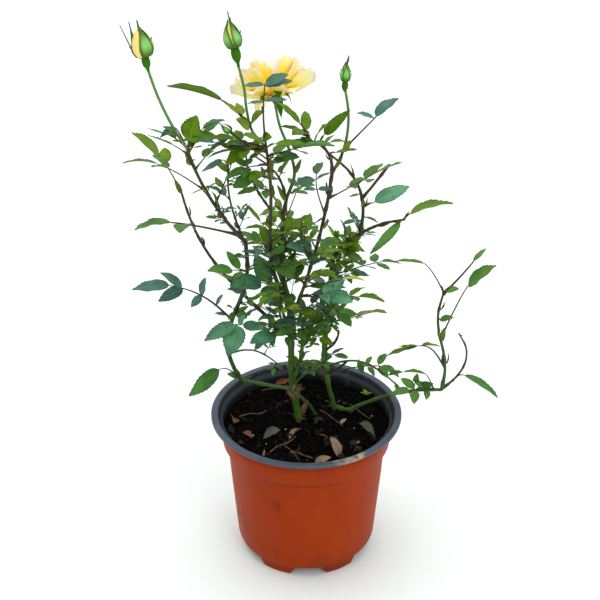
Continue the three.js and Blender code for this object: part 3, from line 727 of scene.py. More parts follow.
def pot_outside_finish():
    """Orange plastic: cloudy, streaked, with a band of painted shade along its step, stained at its foot,
    spotted and scuffed.
    """
    f = Finish("terracotta_plastic", 0.42, 0.06)
    clouds = f.noise(14, 4)
    streaks = f.noise(1, 3, stretch=(90, 90, 9))
    scuffs = f.between(f.noise(1, 5, 0.7, stretch=(60, 60, 210)), 0.56, 0.72)
    height = f.split(f.object)[2]
    base = f.ramp(clouds, (0.25, CLAY["deep"]), (0.75, CLAY["bright"]))
    base = f.mix(f.between(streaks, 0.35, 0.75, 0, 0.35), base, CLAY["streak"])
    base = f.mix(scuffs * 0.10, base, CLAY["scuff"])
    low_stain = f.between(height, 0.0, 0.045, 1, 0) * f.between(f.noise(55, 5), 0.48, 0.66)
    base = f.mix(low_stain * 0.4, base, CLAY["foot"])
    # A dark band along the step under the collar: painted shade in the crease.
    painted_step_shade = f.between(abs(height - STEP_HEIGHT), 0.0004, 0.0024, 1, 0)
    painted_step_shade *= f.between(f.noise(60, 3), 0.2, 0.7, 0.45, 1.0)
    base = f.mix(painted_step_shade * 0.75, base, CLAY["painted_step_shade"])
    for x, y, z, reach in POT_SPOTS:
        stain = f.between(f.reach(x, y, z), 0.2 * reach * MM, reach * MM, 1, 0)
        stain *= f.between(f.noise(240, 4, 0.7), 0.42, 0.60)
        base = f.mix(stain * 0.75, base, CLAY["spot"])
    rare = f.between(f.cells(260), 0.10, 0.16, 1, 0) * f.between(f.noise(30, 2), 0.55, 0.65)
    base = f.mix(rare * 0.6, base, CLAY["speck"])
    f.set(Base_Color=base, Roughness=f.between(clouds + streaks * 0.4, 0.3, 1.0, 0.34, 0.56))
    return f.bump(f.noise(160, 3) + streaks * 0.8, 0.18, 0.0008)


# Tints inside the pot: the rim's slate, the dust and the dried mix are the plastic's own. The near-black pair
# is painted shade on the inner wall, and the dim slate pair is a painted highlight along the ledge.
SLATE = {
    "rim": ((0.034, 0.050, 0.074), (0.066, 0.086, 0.120)), "dust": (0.13, 0.125, 0.115),
    "deep": ((0.0016, 0.0024, 0.0036), (0.004, 0.006, 0.009)), "soil": (0.33, 0.26, 0.19),
    "painted_ledge_highlight": ((0.018, 0.026, 0.038), (0.036, 0.048, 0.064)),
}


def pot_inside_finish():
    """Slate plastic: a paler rim, painted shade down the inner wall with a painted highlight along its ledge,
    dusty, with a blot of dried mix on the rim.
    """
    f = Finish("slate_plastic", 0.34, 0.3)
    clouds = f.noise(22, 4)
    x, y, height = f.split(f.object)
    radius = f.maths("SQRT", x * x + y * y)
    rim, deep, painted_ledge_highlight = (f.ramp(clouds, *zip((0.3, 0.7), SLATE[zone])) for zone in ("rim", "deep", "painted_ledge_highlight"))
    # Above and below the ledge the inner wall is painted near black, which is painted shade; the band on the
    # ledge is a painted highlight.
    base = f.mix(f.between(height, 0.1084, 0.1096), deep, painted_ledge_highlight)
    base = f.mix(f.between(height, 0.1116, 0.1126), base, deep)
    on_rim = f.between(radius, 0.0646, 0.0652)
    base = f.mix(on_rim, base, rim)
    base = f.mix(f.between(f.noise(75, 6, 0.65), 0.56, 0.70) * 0.22, base, SLATE["dust"])
    spread = (26, 34, 60)
    middle = (-0.0310 * spread[0], 0.0600 * spread[1], -0.1150 * spread[2])
    blot = f.out("Vector", "Mapping", Vector=f.object, Location=middle, Scale=spread)
    near = f.out("Value", "VectorMath", {"operation": "LENGTH"}, Vector=blot)
    patch = f.between(near, 0.22, 0.40, 1, 0) * f.between(f.noise(210, 4), 0.38, 0.55)
    base = f.mix(patch, base, SLATE["soil"])
    f.set(Base_Color=base, Roughness=f.between(clouds, 0.3, 0.8, 0.62, 0.84) - on_rim * 0.32)
    return f.bump(f.noise(240, 3), 0.12, 0.0006)


def mix_finish():
    """Moist potting mix: near black, in grains and lumps, with a few brown fibres."""
    f = Finish("moist_mix", 0.85, 0.03)
    grains = f.noise(210, 5, 0.7)
    base = f.ramp(grains, (0.36, (0.0004, 0.0004, 0.0004)), (0.66, (0.0056, 0.0050, 0.0046)))
    fibres = f.between(f.noise(1, 4, 0.7, stretch=(900, 160, 300)), 0.60, 0.70)
    base = f.mix(fibres * 0.4, base, (0.05, 0.028, 0.014))
    f.set(Base_Color=base, Roughness=f.between(grains, 0.3, 0.7, 0.62, 0.95))
    return f.bump(grains + f.cells(170) * -0.7, 0.9, 0.0022)


def grain_finish(name, dark, light, roughness=0.85):
    """Perlite, bark, horn or wool: two tints of the same stuff, broken up finely."""
    f = Finish(name, roughness, 0.04)
    fine = f.noise(420, 4, 0.7)
    f.set(Base_Color=f.ramp(fine, (0.34, dark), (0.68, light)))
    return f.bump(fine, 0.6, 0.0006)


def cane_finish(name, fresh=(0.036, 0.105, 0.010), mid=(0.034, 0.066, 0.014), ripe=(0.066, 0.025, 0.015)):
    """Bark that goes from fresh green to dark red-brown with the cane's own ripeness."""
    f = Finish(name, 0.45, 0.25)
    stripes = f.noise(1, 4, 0.6, stretch=(520, 520, 60))
    patches = f.noise(95, 4)
    ripeness = f.attribute("tone") + f.between(stripes + patches, 0.7, 1.3, -0.20, 0.20)
    base = f.ramp(ripeness, (0.0, fresh), (0.32, mid), (0.60, (0.028, 0.034, 0.013)),
                  (0.82, (0.040, 0.028, 0.017)), (0.95, ripe), (1.0, (0.075, 0.018, 0.013)))
    specks = f.between(f.cells(900), 0.12, 0.24, 1, 0)
    base = f.mix(specks * 0.25, base, (0.10, 0.11, 0.05))
    f.set(Base_Color=base, Roughness=f.between(patches, 0.3, 0.7, 0.34, 0.58))
    return f.bump(stripes + specks * 0.5, 0.5, 0.0005)


TINTS = {
    # upper face dark, upper face light, under face, gloss
    "blue": ((0.022, 0.090, 0.054), (0.072, 0.190, 0.135), (0.100, 0.175, 0.085), 0.22),
    "teal": ((0.026, 0.112, 0.046), (0.082, 0.245, 0.122), (0.105, 0.195, 0.080), 0.20),
    "deep": ((0.024, 0.100, 0.012), (0.064, 0.190, 0.033), (0.095, 0.170, 0.036), 0.14),
    "mid": ((0.035, 0.126, 0.011), (0.094, 0.238, 0.036), (0.120, 0.210, 0.040), 0.14),
    "mint": ((0.045, 0.180, 0.080), (0.120, 0.340, 0.185), (0.120, 0.230, 0.090), 0.22),
    "fresh": ((0.040, 0.112, 0.002), (0.108, 0.222, 0.008), (0.135, 0.225, 0.022), 0.10),
    "lime": ((0.062, 0.142, 0.002), (0.150, 0.265, 0.010), (0.170, 0.260, 0.024), 0.10),
    "young": ((0.120, 0.185, 0.008), (0.220, 0.290, 0.024), (0.205, 0.275, 0.036), 0.12),
    "gold": ((0.330, 0.370, 0.020), (0.520, 0.520, 0.055), (0.380, 0.400, 0.080), 0.14),
}


def leaf_finish(name, dark, light, under, gloss=0.12):
    """A leaf: midrib and side veins on its own map, a softer paler face below."""
    f = Finish(name, 0.5, gloss)
    across, along, _ = f.split(f.places())
    side = abs(across)
    rib = f.between(side, 0.025, 0.085, 1, 0)
    slant = along * 9.0 - side * 3.4
    veins = f.between(abs(f.maths("FRACT", slant) - 0.5), 0.40, 0.49)
    cloud, fine = f.noise(85, 3), f.noise(620, 3)
    edge = f.between(side, 0.70, 1.0) * 0.6
    pale = shade(light, 1.35, 0.02)
    upper = f.ramp(cloud * 0.7 + fine * 0.3, (0.34, dark), (0.62, light))
    upper = f.mix(veins * 0.22, upper, pale)
    upper = f.mix(rib * 0.36, upper, pale)
    upper = f.mix(edge, upper, shade(dark, 0.45))
    lower = f.mix(f.between(cloud, 0.3, 0.7, 0, 0.5), under, shade(under, 0.78))
    lower = f.mix(f.maths("MAXIMUM", rib, veins * 0.5) * 0.5, lower, shade(under, 1.3))
    lower = f.mix(edge, lower, shade(under, 0.40))
    below = f.attribute("under")
    rough = f.between(below + fine * 0.3, 0.0, 1.2, 0.44, 0.70)
    f.set(Base_Color=f.mix(below, upper, lower), Roughness=rough)
    return f.bump(veins * -0.6 + (rib * -0.8 + fine * 0.35), 0.45, 0.0005)


def petal_finish(name, heart, body, edge):
    """A petal from its deep yellow claw to its pale, pink-edged rim, finely veined along its length."""
    f = Finish(name, 0.55, 0.3)
    across, along, _ = f.split(f.places())
    veins = f.noise(1, 3, 0.6, source=f.places(), stretch=(26, 2.2, 1))
    share = along + f.between(veins + f.noise(70, 3), 0.6, 1.4, -0.14, 0.14)
    cream = blend(body, (0.95, 0.90, 0.66), 0.65)
    pale = f.between(f.attribute("tone"), 0, 1, 0, 0.9) * f.between(along, 0.25, 0.80)
    colour = f.mix(pale, f.ramp(share, (0.26, heart), (0.62, body), (0.95, cream)), (0.94, 0.89, 0.52))
    sides = f.between(abs(across), 0.80, 1.0) * f.between(along, 0.45, 0.7)
    rim = f.maths("MAXIMUM", f.between(share, 0.84, 1.02), sides)
    f.set(Base_Color=f.mix(rim * 0.8, colour, edge), Sheen_Weight=0.25, Sheen_Roughness=0.5)
    return f.bump(veins, 0.25, 0.0006)


def sepal_finish(name, dark, light, tip):
    """A sepal or hip: olive at its foot, paler and bluer up its middle, dark at its edges, finely lined."""
    f = Finish(name, 0.42, 0.06)
    across, along, _ = f.split(f.places())
    lines_along = f.noise(1, 3, 0.6, source=f.places(), stretch=(14, 1.6, 1))
    rise = f.between(along, 0.02, 0.34) * f.between(along, 0.42, 0.66, 1, 0.3)
    middle = f.between(abs(across), 1.0, 0.45, 0.2, 1)
    share = rise * middle + f.between(lines_along, 0.3, 0.7, -0.12, 0.12)
    colour = f.ramp(share, (0.04, dark), (0.40, blend(dark, light, 0.28)), (0.95, light))
    f.set(Base_Color=f.mix(f.between(along, 0.68, 0.90, 0, 0.8), colour, tip))
    return f.bump(lines_along, 0.3, 0.0005)


def floor_finish():
    f = Finish("pale_floor", 0.9, 0.2)
    f.set(Base_Color=f.mix(f.noise(3, 2), (0.775, 0.832, 0.813), (0.795, 0.852, 0.833)))
    return f.material


# ---- Geometry Nodes: shapes set out on given points, and shapes strewn over a surface ----


def new_tree(name, **inputs):
    tree = bpy.data.node_groups.new(name, "GeometryNodeTree")
    for way in ("INPUT", "OUTPUT"):
        tree.interface.new_socket("Geometry", in_out=way, socket_type="NodeSocketGeometry")
    for label, kind in inputs.items():
        tree.interface.new_socket(label, in_out="INPUT", socket_type="NodeSocket" + kind)
    return tree, tree.nodes.new("NodeGroupInput").outputs, tree.nodes.new("NodeGroupOutput")


def geo(tree, kind, settings=None, **inputs):
    node = tree.nodes.new(kind)
    for key, value in (settings or {}).items():
        setattr(node, key, value)
    for key, value in inputs.items():
        socket = node.inputs[key.replace("_", " ")]
        if isinstance(value, bpy.types.NodeSocket):
            tree.links.new(value, socket)
        else:
            socket.default_value = value
    return node


def stand_shapes(tree, ends, given, points, turn, size, **which):
    """Ends a tree: shapes stand on points, are made real and are given their finish."""
    shapes = geo(tree, "GeometryNodeCollectionInfo", Collection=given["Shapes"], Separate_Children=True,
                 Reset_Children=True)
    about = geo(tree, "FunctionNodeEulerToRotation", Euler=turn)
    stood = geo(tree, "GeometryNodeInstanceOnPoints", Points=points, Instance=shapes.outputs[0],
                Pick_Instance=True, Rotation=about.outputs[0], Scale=size, **which)
    real = geo(tree, "GeometryNodeRealizeInstances", Geometry=stood.outputs[0])
    done = geo(tree, "GeometryNodeSetMaterial", Geometry=real.outputs[0], Material=given["Material"])
    tree.links.new(done.outputs[0], ends.inputs[0])
    return tree


def set_out_tree():
    """Each point of the input carries which shape stands there, its turn and its size."""
    tree, given, ends = new_tree("set_out_shapes", Shapes="Collection", Material="Material")
    carried = {}
    for name, kind in (("shape", "INT"), ("turn", "FLOAT_VECTOR"), ("size", "FLOAT_VECTOR")):
        node = geo(tree, "GeometryNodeInputNamedAttribute", {"data_type": kind}, Name=name)
        carried[name] = node.outputs["Attribute"]
    return stand_shapes(tree, ends, given, given["Geometry"], carried["turn"], carried["size"],
                        Instance_Index=carried["shape"])


def strew_tree():
    """Shapes lie at random over a surface, so many to the square metre, between two sizes."""
    tree, given, ends = new_tree("strew_shapes", Shapes="Collection", Material="Material", Density="Float",
                                 Smallest="Float", Largest="Float", Seed="Int")
    dots = geo(tree, "GeometryNodeDistributePointsOnFaces", Mesh=given["Geometry"], Density=given["Density"],
               Seed=given["Seed"])
    turn = geo(tree, "FunctionNodeRandomValue", {"data_type": "FLOAT_VECTOR"}, Seed=given["Seed"])
    turn.inputs[1].default_value = (TURN, TURN, TURN)
    size = geo(tree, "FunctionNodeRandomValue", {"data_type": "FLOAT"}, Seed=given["Seed"])
    tree.links.new(given["Smallest"], size.inputs[2])
    tree.links.new(given["Largest"], size.inputs[3])
    return stand_shapes(tree, ends, given, dots.outputs["Points"], turn.outputs[0], size.outputs[1])


SET_OUT = set_out_tree()
STREW = strew_tree()


def grow_from(mesh, tree, **values):
    """The plain mesh that a tree makes of a carrier mesh."""
    carrier = bpy.data.objects.new("carrier", mesh)
    bpy.context.scene.collection.objects.link(carrier)
    modifier = carrier.modifiers.new(tree.name, "NODES")
    modifier.node_group = tree
    sockets = {s.name: s.identifier for s in tree.interface.items_tree if s.in_out == "INPUT"}
    for label, value in values.items():
        modifier[sockets[label]] = value
    graph = bpy.context.evaluated_depsgraph_get()
    grown = carrier.evaluated_get(graph)
    made = bpy.data.meshes.new_from_object(grown, preserve_all_data_layers=True, depsgraph=graph)
    bpy.data.objects.remove(carrier)
    return made


def shape_set(name, meshes):
    box = bpy.data.collections.new(name)
    for i, mesh in enumerate(meshes):
        box.objects.link(bpy.data.objects.new(f"{name}_{i:02d}", mesh))
    return box


class Layout:
    """Points that the shapes of one set are set out on, for one finish."""

    def __init__(self, shapes):
        self.shapes, self.rows = shapes, []

    def stand(self, where, direction, face, size, shape, broad=1.0, deep=1.0):
        """One shape of a length, lying along the direction with its upper side towards face."""
        forward = Vector(direction).normalized()
        upper = Vector(face) - forward * Vector(face).dot(forward)
        if upper.length < 1e-4:
            upper = forward.orthogonal()
        upper.normalize()
        turn = Matrix((forward.cross(upper), forward, upper)).transposed().to_euler("XYZ")
        self.rows.append((tuple(where), tuple(turn), (size * broad, size, size * deep), shape))

    def mesh(self, name, material):
        points = bpy.data.meshes.new(name)
        wheres, turns, sizes, shapes = zip(*self.rows)
        points.from_pydata(wheres, [], [])
        for label, column in (("turn", turns), ("size", sizes)):
            values = points.attributes.new(label, "FLOAT_VECTOR", "POINT")
            values.data.foreach_set("vector", np.array(column, np.float32).reshape(-1))
        which = points.attributes.new("shape", "INT", "POINT")
        which.data.foreach_set("value", np.array(shapes, np.int32))
        return grow_from(points, SET_OUT, Shapes=self.shapes, Material=material)


# ---- Leaf shapes, one metre long until they are set out ----

TEETH = 9
BLADE_DEPTH = 0.016


def leaf_shape(name, width, fold, curl, twist, seed, teeth=TEETH, bite=1.0):
    """A toothed oval blade with a face above and below that meet at its rim. It lies along +Y."""
    rng = random.Random(seed)
    rows = 2 * teeth
    inner = rows - 1
    lean = rng.uniform(-0.10, 0.10)
    wave = rng.uniform(0.006, 0.018)
    phase = rng.uniform(0, TURN)
    spine, edges = [], []
    here, low = 0.0, 0.0
    for i in range(rows + 1):
        v = i / rows
        bend = curl * v
        if i:
            here += math.cos(bend) / rows
            low -= math.sin(bend) / rows
        half = width * 1.36 * v**0.60 * (1 - v) ** 0.94
        tooth = 1 + bite * (0.040 if i % 2 else -0.032)
        shift = bite * (0.012 if i % 2 else -0.006)
        spine.append(Vector((lean * v * (1 - v), here, low)))
        pair = []
        for side in (-1, 1):
            out = Vector((side * math.cos(fold), 0, math.sin(fold))) * half * tooth
            out.z += wave * math.sin(5 * v * math.pi + phase + side) * (0.3 < v < 0.95)
            out.rotate(Quaternion((0, 1, 0), twist * v))
            out.rotate(Quaternion((1, 0, 0), -bend))
            pair.append(spine[-1] + out + Vector((0, shift * (0 < v < 1), 0)))
        edges.append(pair)
    # Turned and stretched so that the tip lies one length along +Y, however the blade curls.
    level = Matrix.Rotation(math.atan2(-spine[-1].z, spine[-1].y), 3, "X") * (1 / spine[-1].length)
    spine = [level @ p for p in spine]
    edges = [[level @ p for p in pair] for pair in edges]
    # Between its foot (0) and its tip (1): the midrib above and below, then the left and the right edge.
    points = [spine[0], spine[-1], *spine[1:-1], *(p - UP * BLADE_DEPTH for p in spine[1:-1])]
    points += [pair[0] for pair in edges[1:-1]] + [pair[1] for pair in edges[1:-1]]
    top, below, left, right = (range(2 + row * inner, 2 + (row + 1) * inner) for row in range(4))
    faces, under, rim = [], [], []
    for spine_row, is_under in ((top, 0.0), (below, 1.0)):
        for edge_row, flip in ((left, False), (right, True)):
            chain_a = [0, *spine_row, 1]
            chain_b = [0, *edge_row, 1]
            for i in range(rows):
                face = list(dict.fromkeys((chain_a[i], chain_a[i + 1], chain_b[i + 1], chain_b[i])))
                if flip != bool(is_under):
                    face.reverse()
                faces.append(face)
                under.append(is_under)
    for edge_row in (left, right):
        chain = [0, *edge_row, 1]
        rim += [tuple(sorted(pair)) for pair in zip(chain, chain[1:])]
    mesh = bpy.data.meshes.new(name)
    mesh.from_pydata(points, [], faces, shade_flat=False)
    places = {0: (0, 0), 1: (0, 1)}
    for i in range(inner):
        v = (i + 1) / rows
        places[top[i]] = places[below[i]] = (0, v)
        places[left[i]], places[right[i]] = (-1, v), (1, v)
    layer = mesh.uv_layers.new(name="places")
    for loop in mesh.loops:
        layer.data[loop.index].uv = places[loop.vertex_index]
    side = mesh.attributes.new("under", "FLOAT", "FACE")
    side.data.foreach_set("value", under)
    for edge in mesh.edges:
        if tuple(sorted(edge.vertices)) in rim:
            edge.use_edge_sharp = True
    return mesh


# Blades from broad and flat to narrow, folded and curled, so that no two neighbours look alike.
LEAF_FORMS = [
    (0.58, 0.12, 0.15, 0.05), (0.55, 0.18, 0.30, -0.12), (0.53, 0.22, 0.42, 0.15), (0.50, 0.26, 0.22, -0.10),
    (0.56, 0.14, 0.52, 0.10), (0.50, 0.34, 0.38, -0.18), (0.60, 0.10, 0.25, 0.00), (0.52, 0.20, -0.12, 0.12),
    (0.48, 0.44, 0.45, 0.10), (0.55, 0.18, 0.64, -0.15), (0.52, 0.15, 0.10, 0.20), (0.46, 0.52, 0.30, 0.00),
]
LEAFLET_MESHES = [leaf_shape(f"leaflet_{i:02d}", *form, seed=i) for i, form in enumerate(LEAF_FORMS)]
SMOOTH_FORM = len(LEAFLET_MESHES)
LEAFLET_MESHES.append(leaf_shape("leaflet_smooth", 0.46, 0.40, 0.30, 0.10, seed=50, bite=0.15))
LEAFLETS = shape_set("leaflet", LEAFLET_MESHES)
NARROW_BLADES = [leaf_shape(f"blade_{i}", 0.20, 0.5, 0.25 * i, 0.2, seed=40 + i, teeth=3) for i in range(4)]
BLADES = shape_set("blade", NARROW_BLADES)

leaf_layouts = {tint: Layout(LEAFLETS) for tint in TINTS}
leaf_nodes = {tint: set() for tint in TINTS}
stipules = Layout(BLADES)
leaf_stalks = Stock()
stalk_nodes = set()


def any_way(rng, amount):
    return Vector([rng.gauss(0, amount) for _ in range(3)])


def square_to(along, angle):
    """A unit vector square to a direction, turned about it by an angle."""
    out = along.orthogonal().normalized()
    out.rotate(Quaternion(along, angle))
    return out


def facing(pitch, roll):
    """The way a blade faces when it lies flat and is then pitched to the back and rolled to the right."""
    pitch, roll = math.radians(pitch), math.radians(roll)
    return Vector((math.sin(roll), math.sin(pitch), math.cos(pitch))).normalized()


# How far the first pair of leaflets stands below the end one, and each pair below the last, and how much
# bare stalk a leaf keeps, in lengths of its end leaflet; and how many points a leaf's stalk has.
PAIR_START, FLAT_START, PAIR_GAP, BARE_STALK = 0.30, 0.06, 0.58, 0.22
STALK_POINTS = 10
USUAL_ARCH = 0.07


def grow_leaf(foot, tip, leaflets, size, face, tint, rng, node=None, arch=USUAL_ARCH, thick=0.56,
              smooth=False, short=False, square=False, flat=False, lone_side=-1, lone_size=(1.0, 1.0)):
    """A compound leaf from its foot on a cane to the tip of its end leaflet. Its side leaflets stand in
    pairs along the stalk, which rises a little in its middle; narrow stipules wing its foot."""
    foot, tip, face = Vector(foot), Vector(tip), Vector(face).normalized()
    reach = tip - foot
    length = reach.length
    size, breadth = size if isinstance(size, tuple) else (size, 1.0)
    pairs = leaflets // 2
    room = 1 + BARE_STALK + (PAIR_START + PAIR_GAP * (pairs - 1) if pairs else -0.08)
    size = min(size * MM, length / (1.02 if short else room))
    sway = any_way(rng, 0.03) * length
    ripe = 0.1 if foot.z < 0.2 else 0.4
    end = max(0.1, 1 - size / length)

    def at(share):
        hump = math.sin(math.pi * min(1, share / (2 * end))) if share < end else 1.0
        return foot + reach * share + UP * (arch * length * hump) + sway * math.sin(math.pi * share)

    stalk = [at(end * i / (STALK_POINTS - 1)) for i in range(STALK_POINTS)]
    radii = np.linspace(thick, 0.6 * thick, STALK_POINTS) * MM
    radii[:2] *= (1.8, 1.3)
    tones = np.linspace(ripe + 0.35, ripe + 0.75, STALK_POINTS) + rng.uniform(-0.2, 0.25)
    tube(leaf_stalks, stalk, radii, sides=5, tones=tones)
    layout = leaf_layouts[tint]
    forms = range(len(LEAF_FORMS))
    forward = (tip - stalk[-1]).normalized()
    side_way = forward.cross(face)
    if side_way.length < 0.25:
        side_way = forward.cross(FRONT)
    side_way.normalize()
    end_size = size * rng.uniform(0.96, 1.04)
    form = rng.choice(forms)
    if smooth:
        form = SMOOTH_FORM
    layout.stand(stalk[-1], forward + any_way(rng, 0.05), face + any_way(rng, 0.10), end_size, form, breadth)
    for pair in range(pairs):
        share = max(0.06, end - ((FLAT_START if flat else PAIR_START) + PAIR_GAP * pair) * size / length)
        forward = (at(share + 0.02) - at(share - 0.02)).normalized()
        for side in (lone_side,) if leaflets == 2 else (-1, 1):
            spread = math.radians(rng.uniform(80, 98) if square else rng.uniform(52, 74))
            aside = side_way * side
            direction = forward * math.cos(spread) + aside * math.sin(spread) + any_way(rng, 0.09)
            tilt = face + aside * rng.uniform(-0.30, 0.15) + any_way(rng, 0.15)
            shrink = rng.uniform(0.76, 0.90) * (1 - 0.19 * pair)
            root = at(share + side * 0.008)
            bit = root + direction.normalized() * 1.1 * MM
            tube(leaf_stalks, [root, (root + bit) / 2, bit], 0.55 * thick * MM, sides=4, tones=ripe + 0.5)
            if flat:
                tilt, direction = facing(-6, 0), Vector((-1, -0.1, 0.33))
            layout.stand(bit, direction, tilt, size * shrink * lone_size[0], rng.choice(forms), lone_size[1])
    start = (stalk[1] - stalk[0]).normalized()
    for side in (-1, 1):
        aside = start.cross(face).normalized() * side
        wing = min(7.5 * MM, 0.25 * length)
        stipules.stand(stalk[0], start + aside * 0.2, face - aside * 0.7, wing, rng.randrange(4))
    if node:
        leaf_nodes[tint].add(node)
        stalk_nodes.add(node)


def spray_ends(node):
    """A spray's foot on its cane and its furthest tip."""
    groups = rings_of(node, 2 * MM)
    ends = [groups[0].mean(0), groups[-1].mean(0)]
    ends.sort(key=lambda end: min(line.nearest(end)[1] for line in lines.values()))
    name, share = seat_of(ends[0])
    return lines[name].at(share), Vector(ends[1])


def grow_known_leaf(node, seat, reach, bow, tint, thick):
    """A leaf whose leaflets are set out one by one along a stalk from its foot to its top."""
    rng = random.Random(node)
    if seat:
        foot = lines[seat[0]].at(seat[1])
    else:
        foot, tip = spray_ends(node)
    reach = Vector(reach) * MM
    if node == "bloom_leaf":
        reach += (tip - foot) * BLOOM_LEAF_STALK

    def at(share):
        return foot + reach * share + Vector(bow) * MM * math.sin(math.pi * share)

    stalk = [at(t) for t in np.linspace(0, 1, STALK_POINTS)]
    tones = np.linspace(0.7, 0.95, STALK_POINTS)
    tube(leaf_stalks, stalk, np.linspace(thick, 0.38, STALK_POINTS) * MM, sides=6, tones=tones)
    for share, way, turned_to, size, breadth in KNOWN_LEAFLETS[node]:
        way = Vector(way).normalized()
        where = at(share) + way * 0.3 * MM
        leaf_layouts[tint].stand(where, way, facing(*turned_to), size * MM, rng.choice((0, 4, 6)), breadth)
    leaf_nodes[tint].add(node)
    stalk_nodes.add(node)


for twig, (cane, share, reach, bow, radius, _) in TWIGS.items():
    foot = lines[cane].at(share)
    reach, bow = Vector(reach) * MM, Vector(bow) * MM
    steps = (0, 0.25, 0.5, 0.75, 1)
    middles = [foot + reach * t + bow * math.sin(math.pi * t) for t in steps]
    lines[twig] = Line(middles, [radius * MM * (1.15 - 0.4 * t) for t in steps])

for node, numbers in KNOWN_STALKS.items():
    grow_known_leaf(node, *numbers)

for node, (leaflets, size, pitch, roll, tint) in SPRAYS.items():
    odd = {"thick": 0.6, **ODD_SPRAYS.get(node, {})}
    foot, tip = spray_ends(node)
    tip = tip + Vector(odd.pop("nudge", (0, 0, 0))) * MM
    if "seat" in odd:
        cane, share = odd.pop("seat")
        foot = lines[cane].at(share)
    grow_leaf(foot, tip, leaflets, size, facing(pitch, roll), tint, random.Random(node), node=node, **odd)

leaves_so_far = 0
for cane, rows in LEAVES:
    for share, reach, leaflets, size, pitch, roll, tint, *arch in rows:
        foot = lines[cane].at(share)
        rng = random.Random(f"{cane}_{leaves_so_far}")
        grow_leaf(foot, foot + Vector(reach) * MM, leaflets, size, facing(pitch, roll), tint, rng,
                  arch=arch[0] if arch else USUAL_ARCH)
        leaves_so_far += 1

# ---- Leaves that fill the crown by rule ----


YOUNG_SHARE, TOP_CROWN, MID_CROWN = 0.025, 0.31, 0.23


def tint_at(height, rng):
    """Blue-green low down, fresher towards the top, with a young leaf here and there; in the middle of the
    crown more lime leaves, which is painted light against the shade there.
    """
    if rng.random() < YOUNG_SHARE:
        return "young"
    if height > TOP_CROWN:
        return rng.choice(("fresh", "lime", "fresh", "mid", "blue", "fresh"))
    # More lime leaves between the middle and the top of the crown: painted light that lightens leaves lying
    # in the crown's shade.
    if height > MID_CROWN:
        return rng.choice(("fresh", "lime", "fresh", "mid", "lime", "fresh", "blue", "mid"))
    return rng.choice(("blue", "mid", "fresh", "mid", "blue", "fresh"))


GOLDEN_ANGLE = 2.39996
LEAFLET_COUNTS = (3, 5, 5)


def fill_clump(node, count, smallest, largest):
    """Leaves grow from the canes in a clump out to its skin, all round it."""
    rng = random.Random(node)
    low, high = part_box(node)
    middle, half = (low + high) / 2, (high - low) / 2
    for i in range(count):
        rise = 1 - 2 * (i + 0.5) / count
        turn = i * GOLDEN_ANGLE + rng.uniform(-0.3, 0.3)
        girth = math.sqrt(1 - rise * rise)
        out = Vector((girth * math.cos(turn), girth * math.sin(turn), rise))
        skin = Vector((out.x * half.x, out.y * half.y, out.z * half.z))
        tip = middle + skin * rng.uniform(0.72, 1.0)
        name, share = seat_of(middle + skin * 0.45 - UP * 6 * MM)
        foot = lines[name].at(share)
        if (tip - foot).length < 12 * MM:
            continue
        size = rng.uniform(smallest, largest)
        grow_leaf(foot, tip, rng.choice(LEAFLET_COUNTS), size, out * 0.35 + UP + any_way(rng, 0.2),
                  tint_at(tip.z, rng), rng, node=node, arch=rng.uniform(0.05, 0.16), thick=0.4)


def leaf_out(name, low, high, count, reach, size):
    """Leaves stand along a cane, each turned about it from the last, rising and spreading."""
    rng = random.Random(name + "_row")
    line = lines[name]
    for i in range(count):
        share = low + (high - low) * (i + 0.5) / count
        along = line.along(share)
        first = square_to(along, i * 2.4 + rng.uniform(-0.4, 0.4))
        out = first + along * rng.uniform(0.1, 0.6) + UP * rng.uniform(-0.05, 0.4)
        foot = line.at(share)
        tip = foot + out.normalized() * reach * rng.uniform(0.75, 1.15) * MM
        face = UP + first * 0.25 + any_way(rng, 0.15)
        grow_leaf(foot, tip, rng.choice(LEAFLET_COUNTS), size * rng.uniform(0.8, 1.15), face,
                  tint_at(tip.z, rng), rng, arch=rng.uniform(0.04, 0.14), thick=0.42)


for node, numbers in CLUMPS.items():
    fill_clump(node, *numbers)
for name, numbers in ROWS.items():
    leaf_out(name, *numbers)

# ---- Canes and stalks ----

KNOT_PACE, KNOT_WIDTH, TWIG_KNOT_WIDTH = 22 * MM, 2.2 * MM, 1.6 * MM
cane_bark = cane_finish("rose_cane")
stalk_bark = cane_finish("flower_stalk", (0.085, 0.215, 0.040), (0.060, 0.140, 0.030))
stems = {}
for cane, (_, ripe_foot, ripe_tip, stem, girth_foot, girth_rest) in CANES.items():
    line = lines[cane]
    rng = random.Random(cane)
    stalk = stem == "flower_stalks"
    radii = line.radii * (girth_foot + (girth_rest - girth_foot) * np.minimum(1, line.shares / 0.3))
    tones = ripe_foot + (ripe_tip - ripe_foot) * line.shares
    if not stalk:
        for knot in np.arange(rng.uniform(0.03, 0.1), 1, KNOT_PACE / line.length):
            swell = np.exp(-(((line.shares - knot) / (KNOT_WIDTH / line.length)) ** 2))
            radii *= 1 + 0.28 * swell
            tones += 0.25 * swell * (ripe_tip > 0.3)
    sides = 14 if radii.max() > 1.6 * MM else 10
    stock = stems.setdefault(stem, Stock())
    tube(stock, line.points, radii, sides, 0.02 if stalk else 0.16, tones, cut=cane == "cut_stub")

for twig, (*_, ripe) in TWIGS.items():
    line = lines[twig]
    rng = random.Random(twig)
    knots = 0
    for _ in range(4):
        far = (line.shares - rng.uniform(0.1, 0.95)) * line.length / TWIG_KNOT_WIDTH
        knots = knots + np.exp(-(far**2))
    radii = line.radii * (1 + 0.3 * knots)
    tones = ripe * (0.75 + 0.25 * line.shares)
    tube(stems["main_stems"], line.points, radii, 8, 0.12, tones, cut="snapped" in twig)

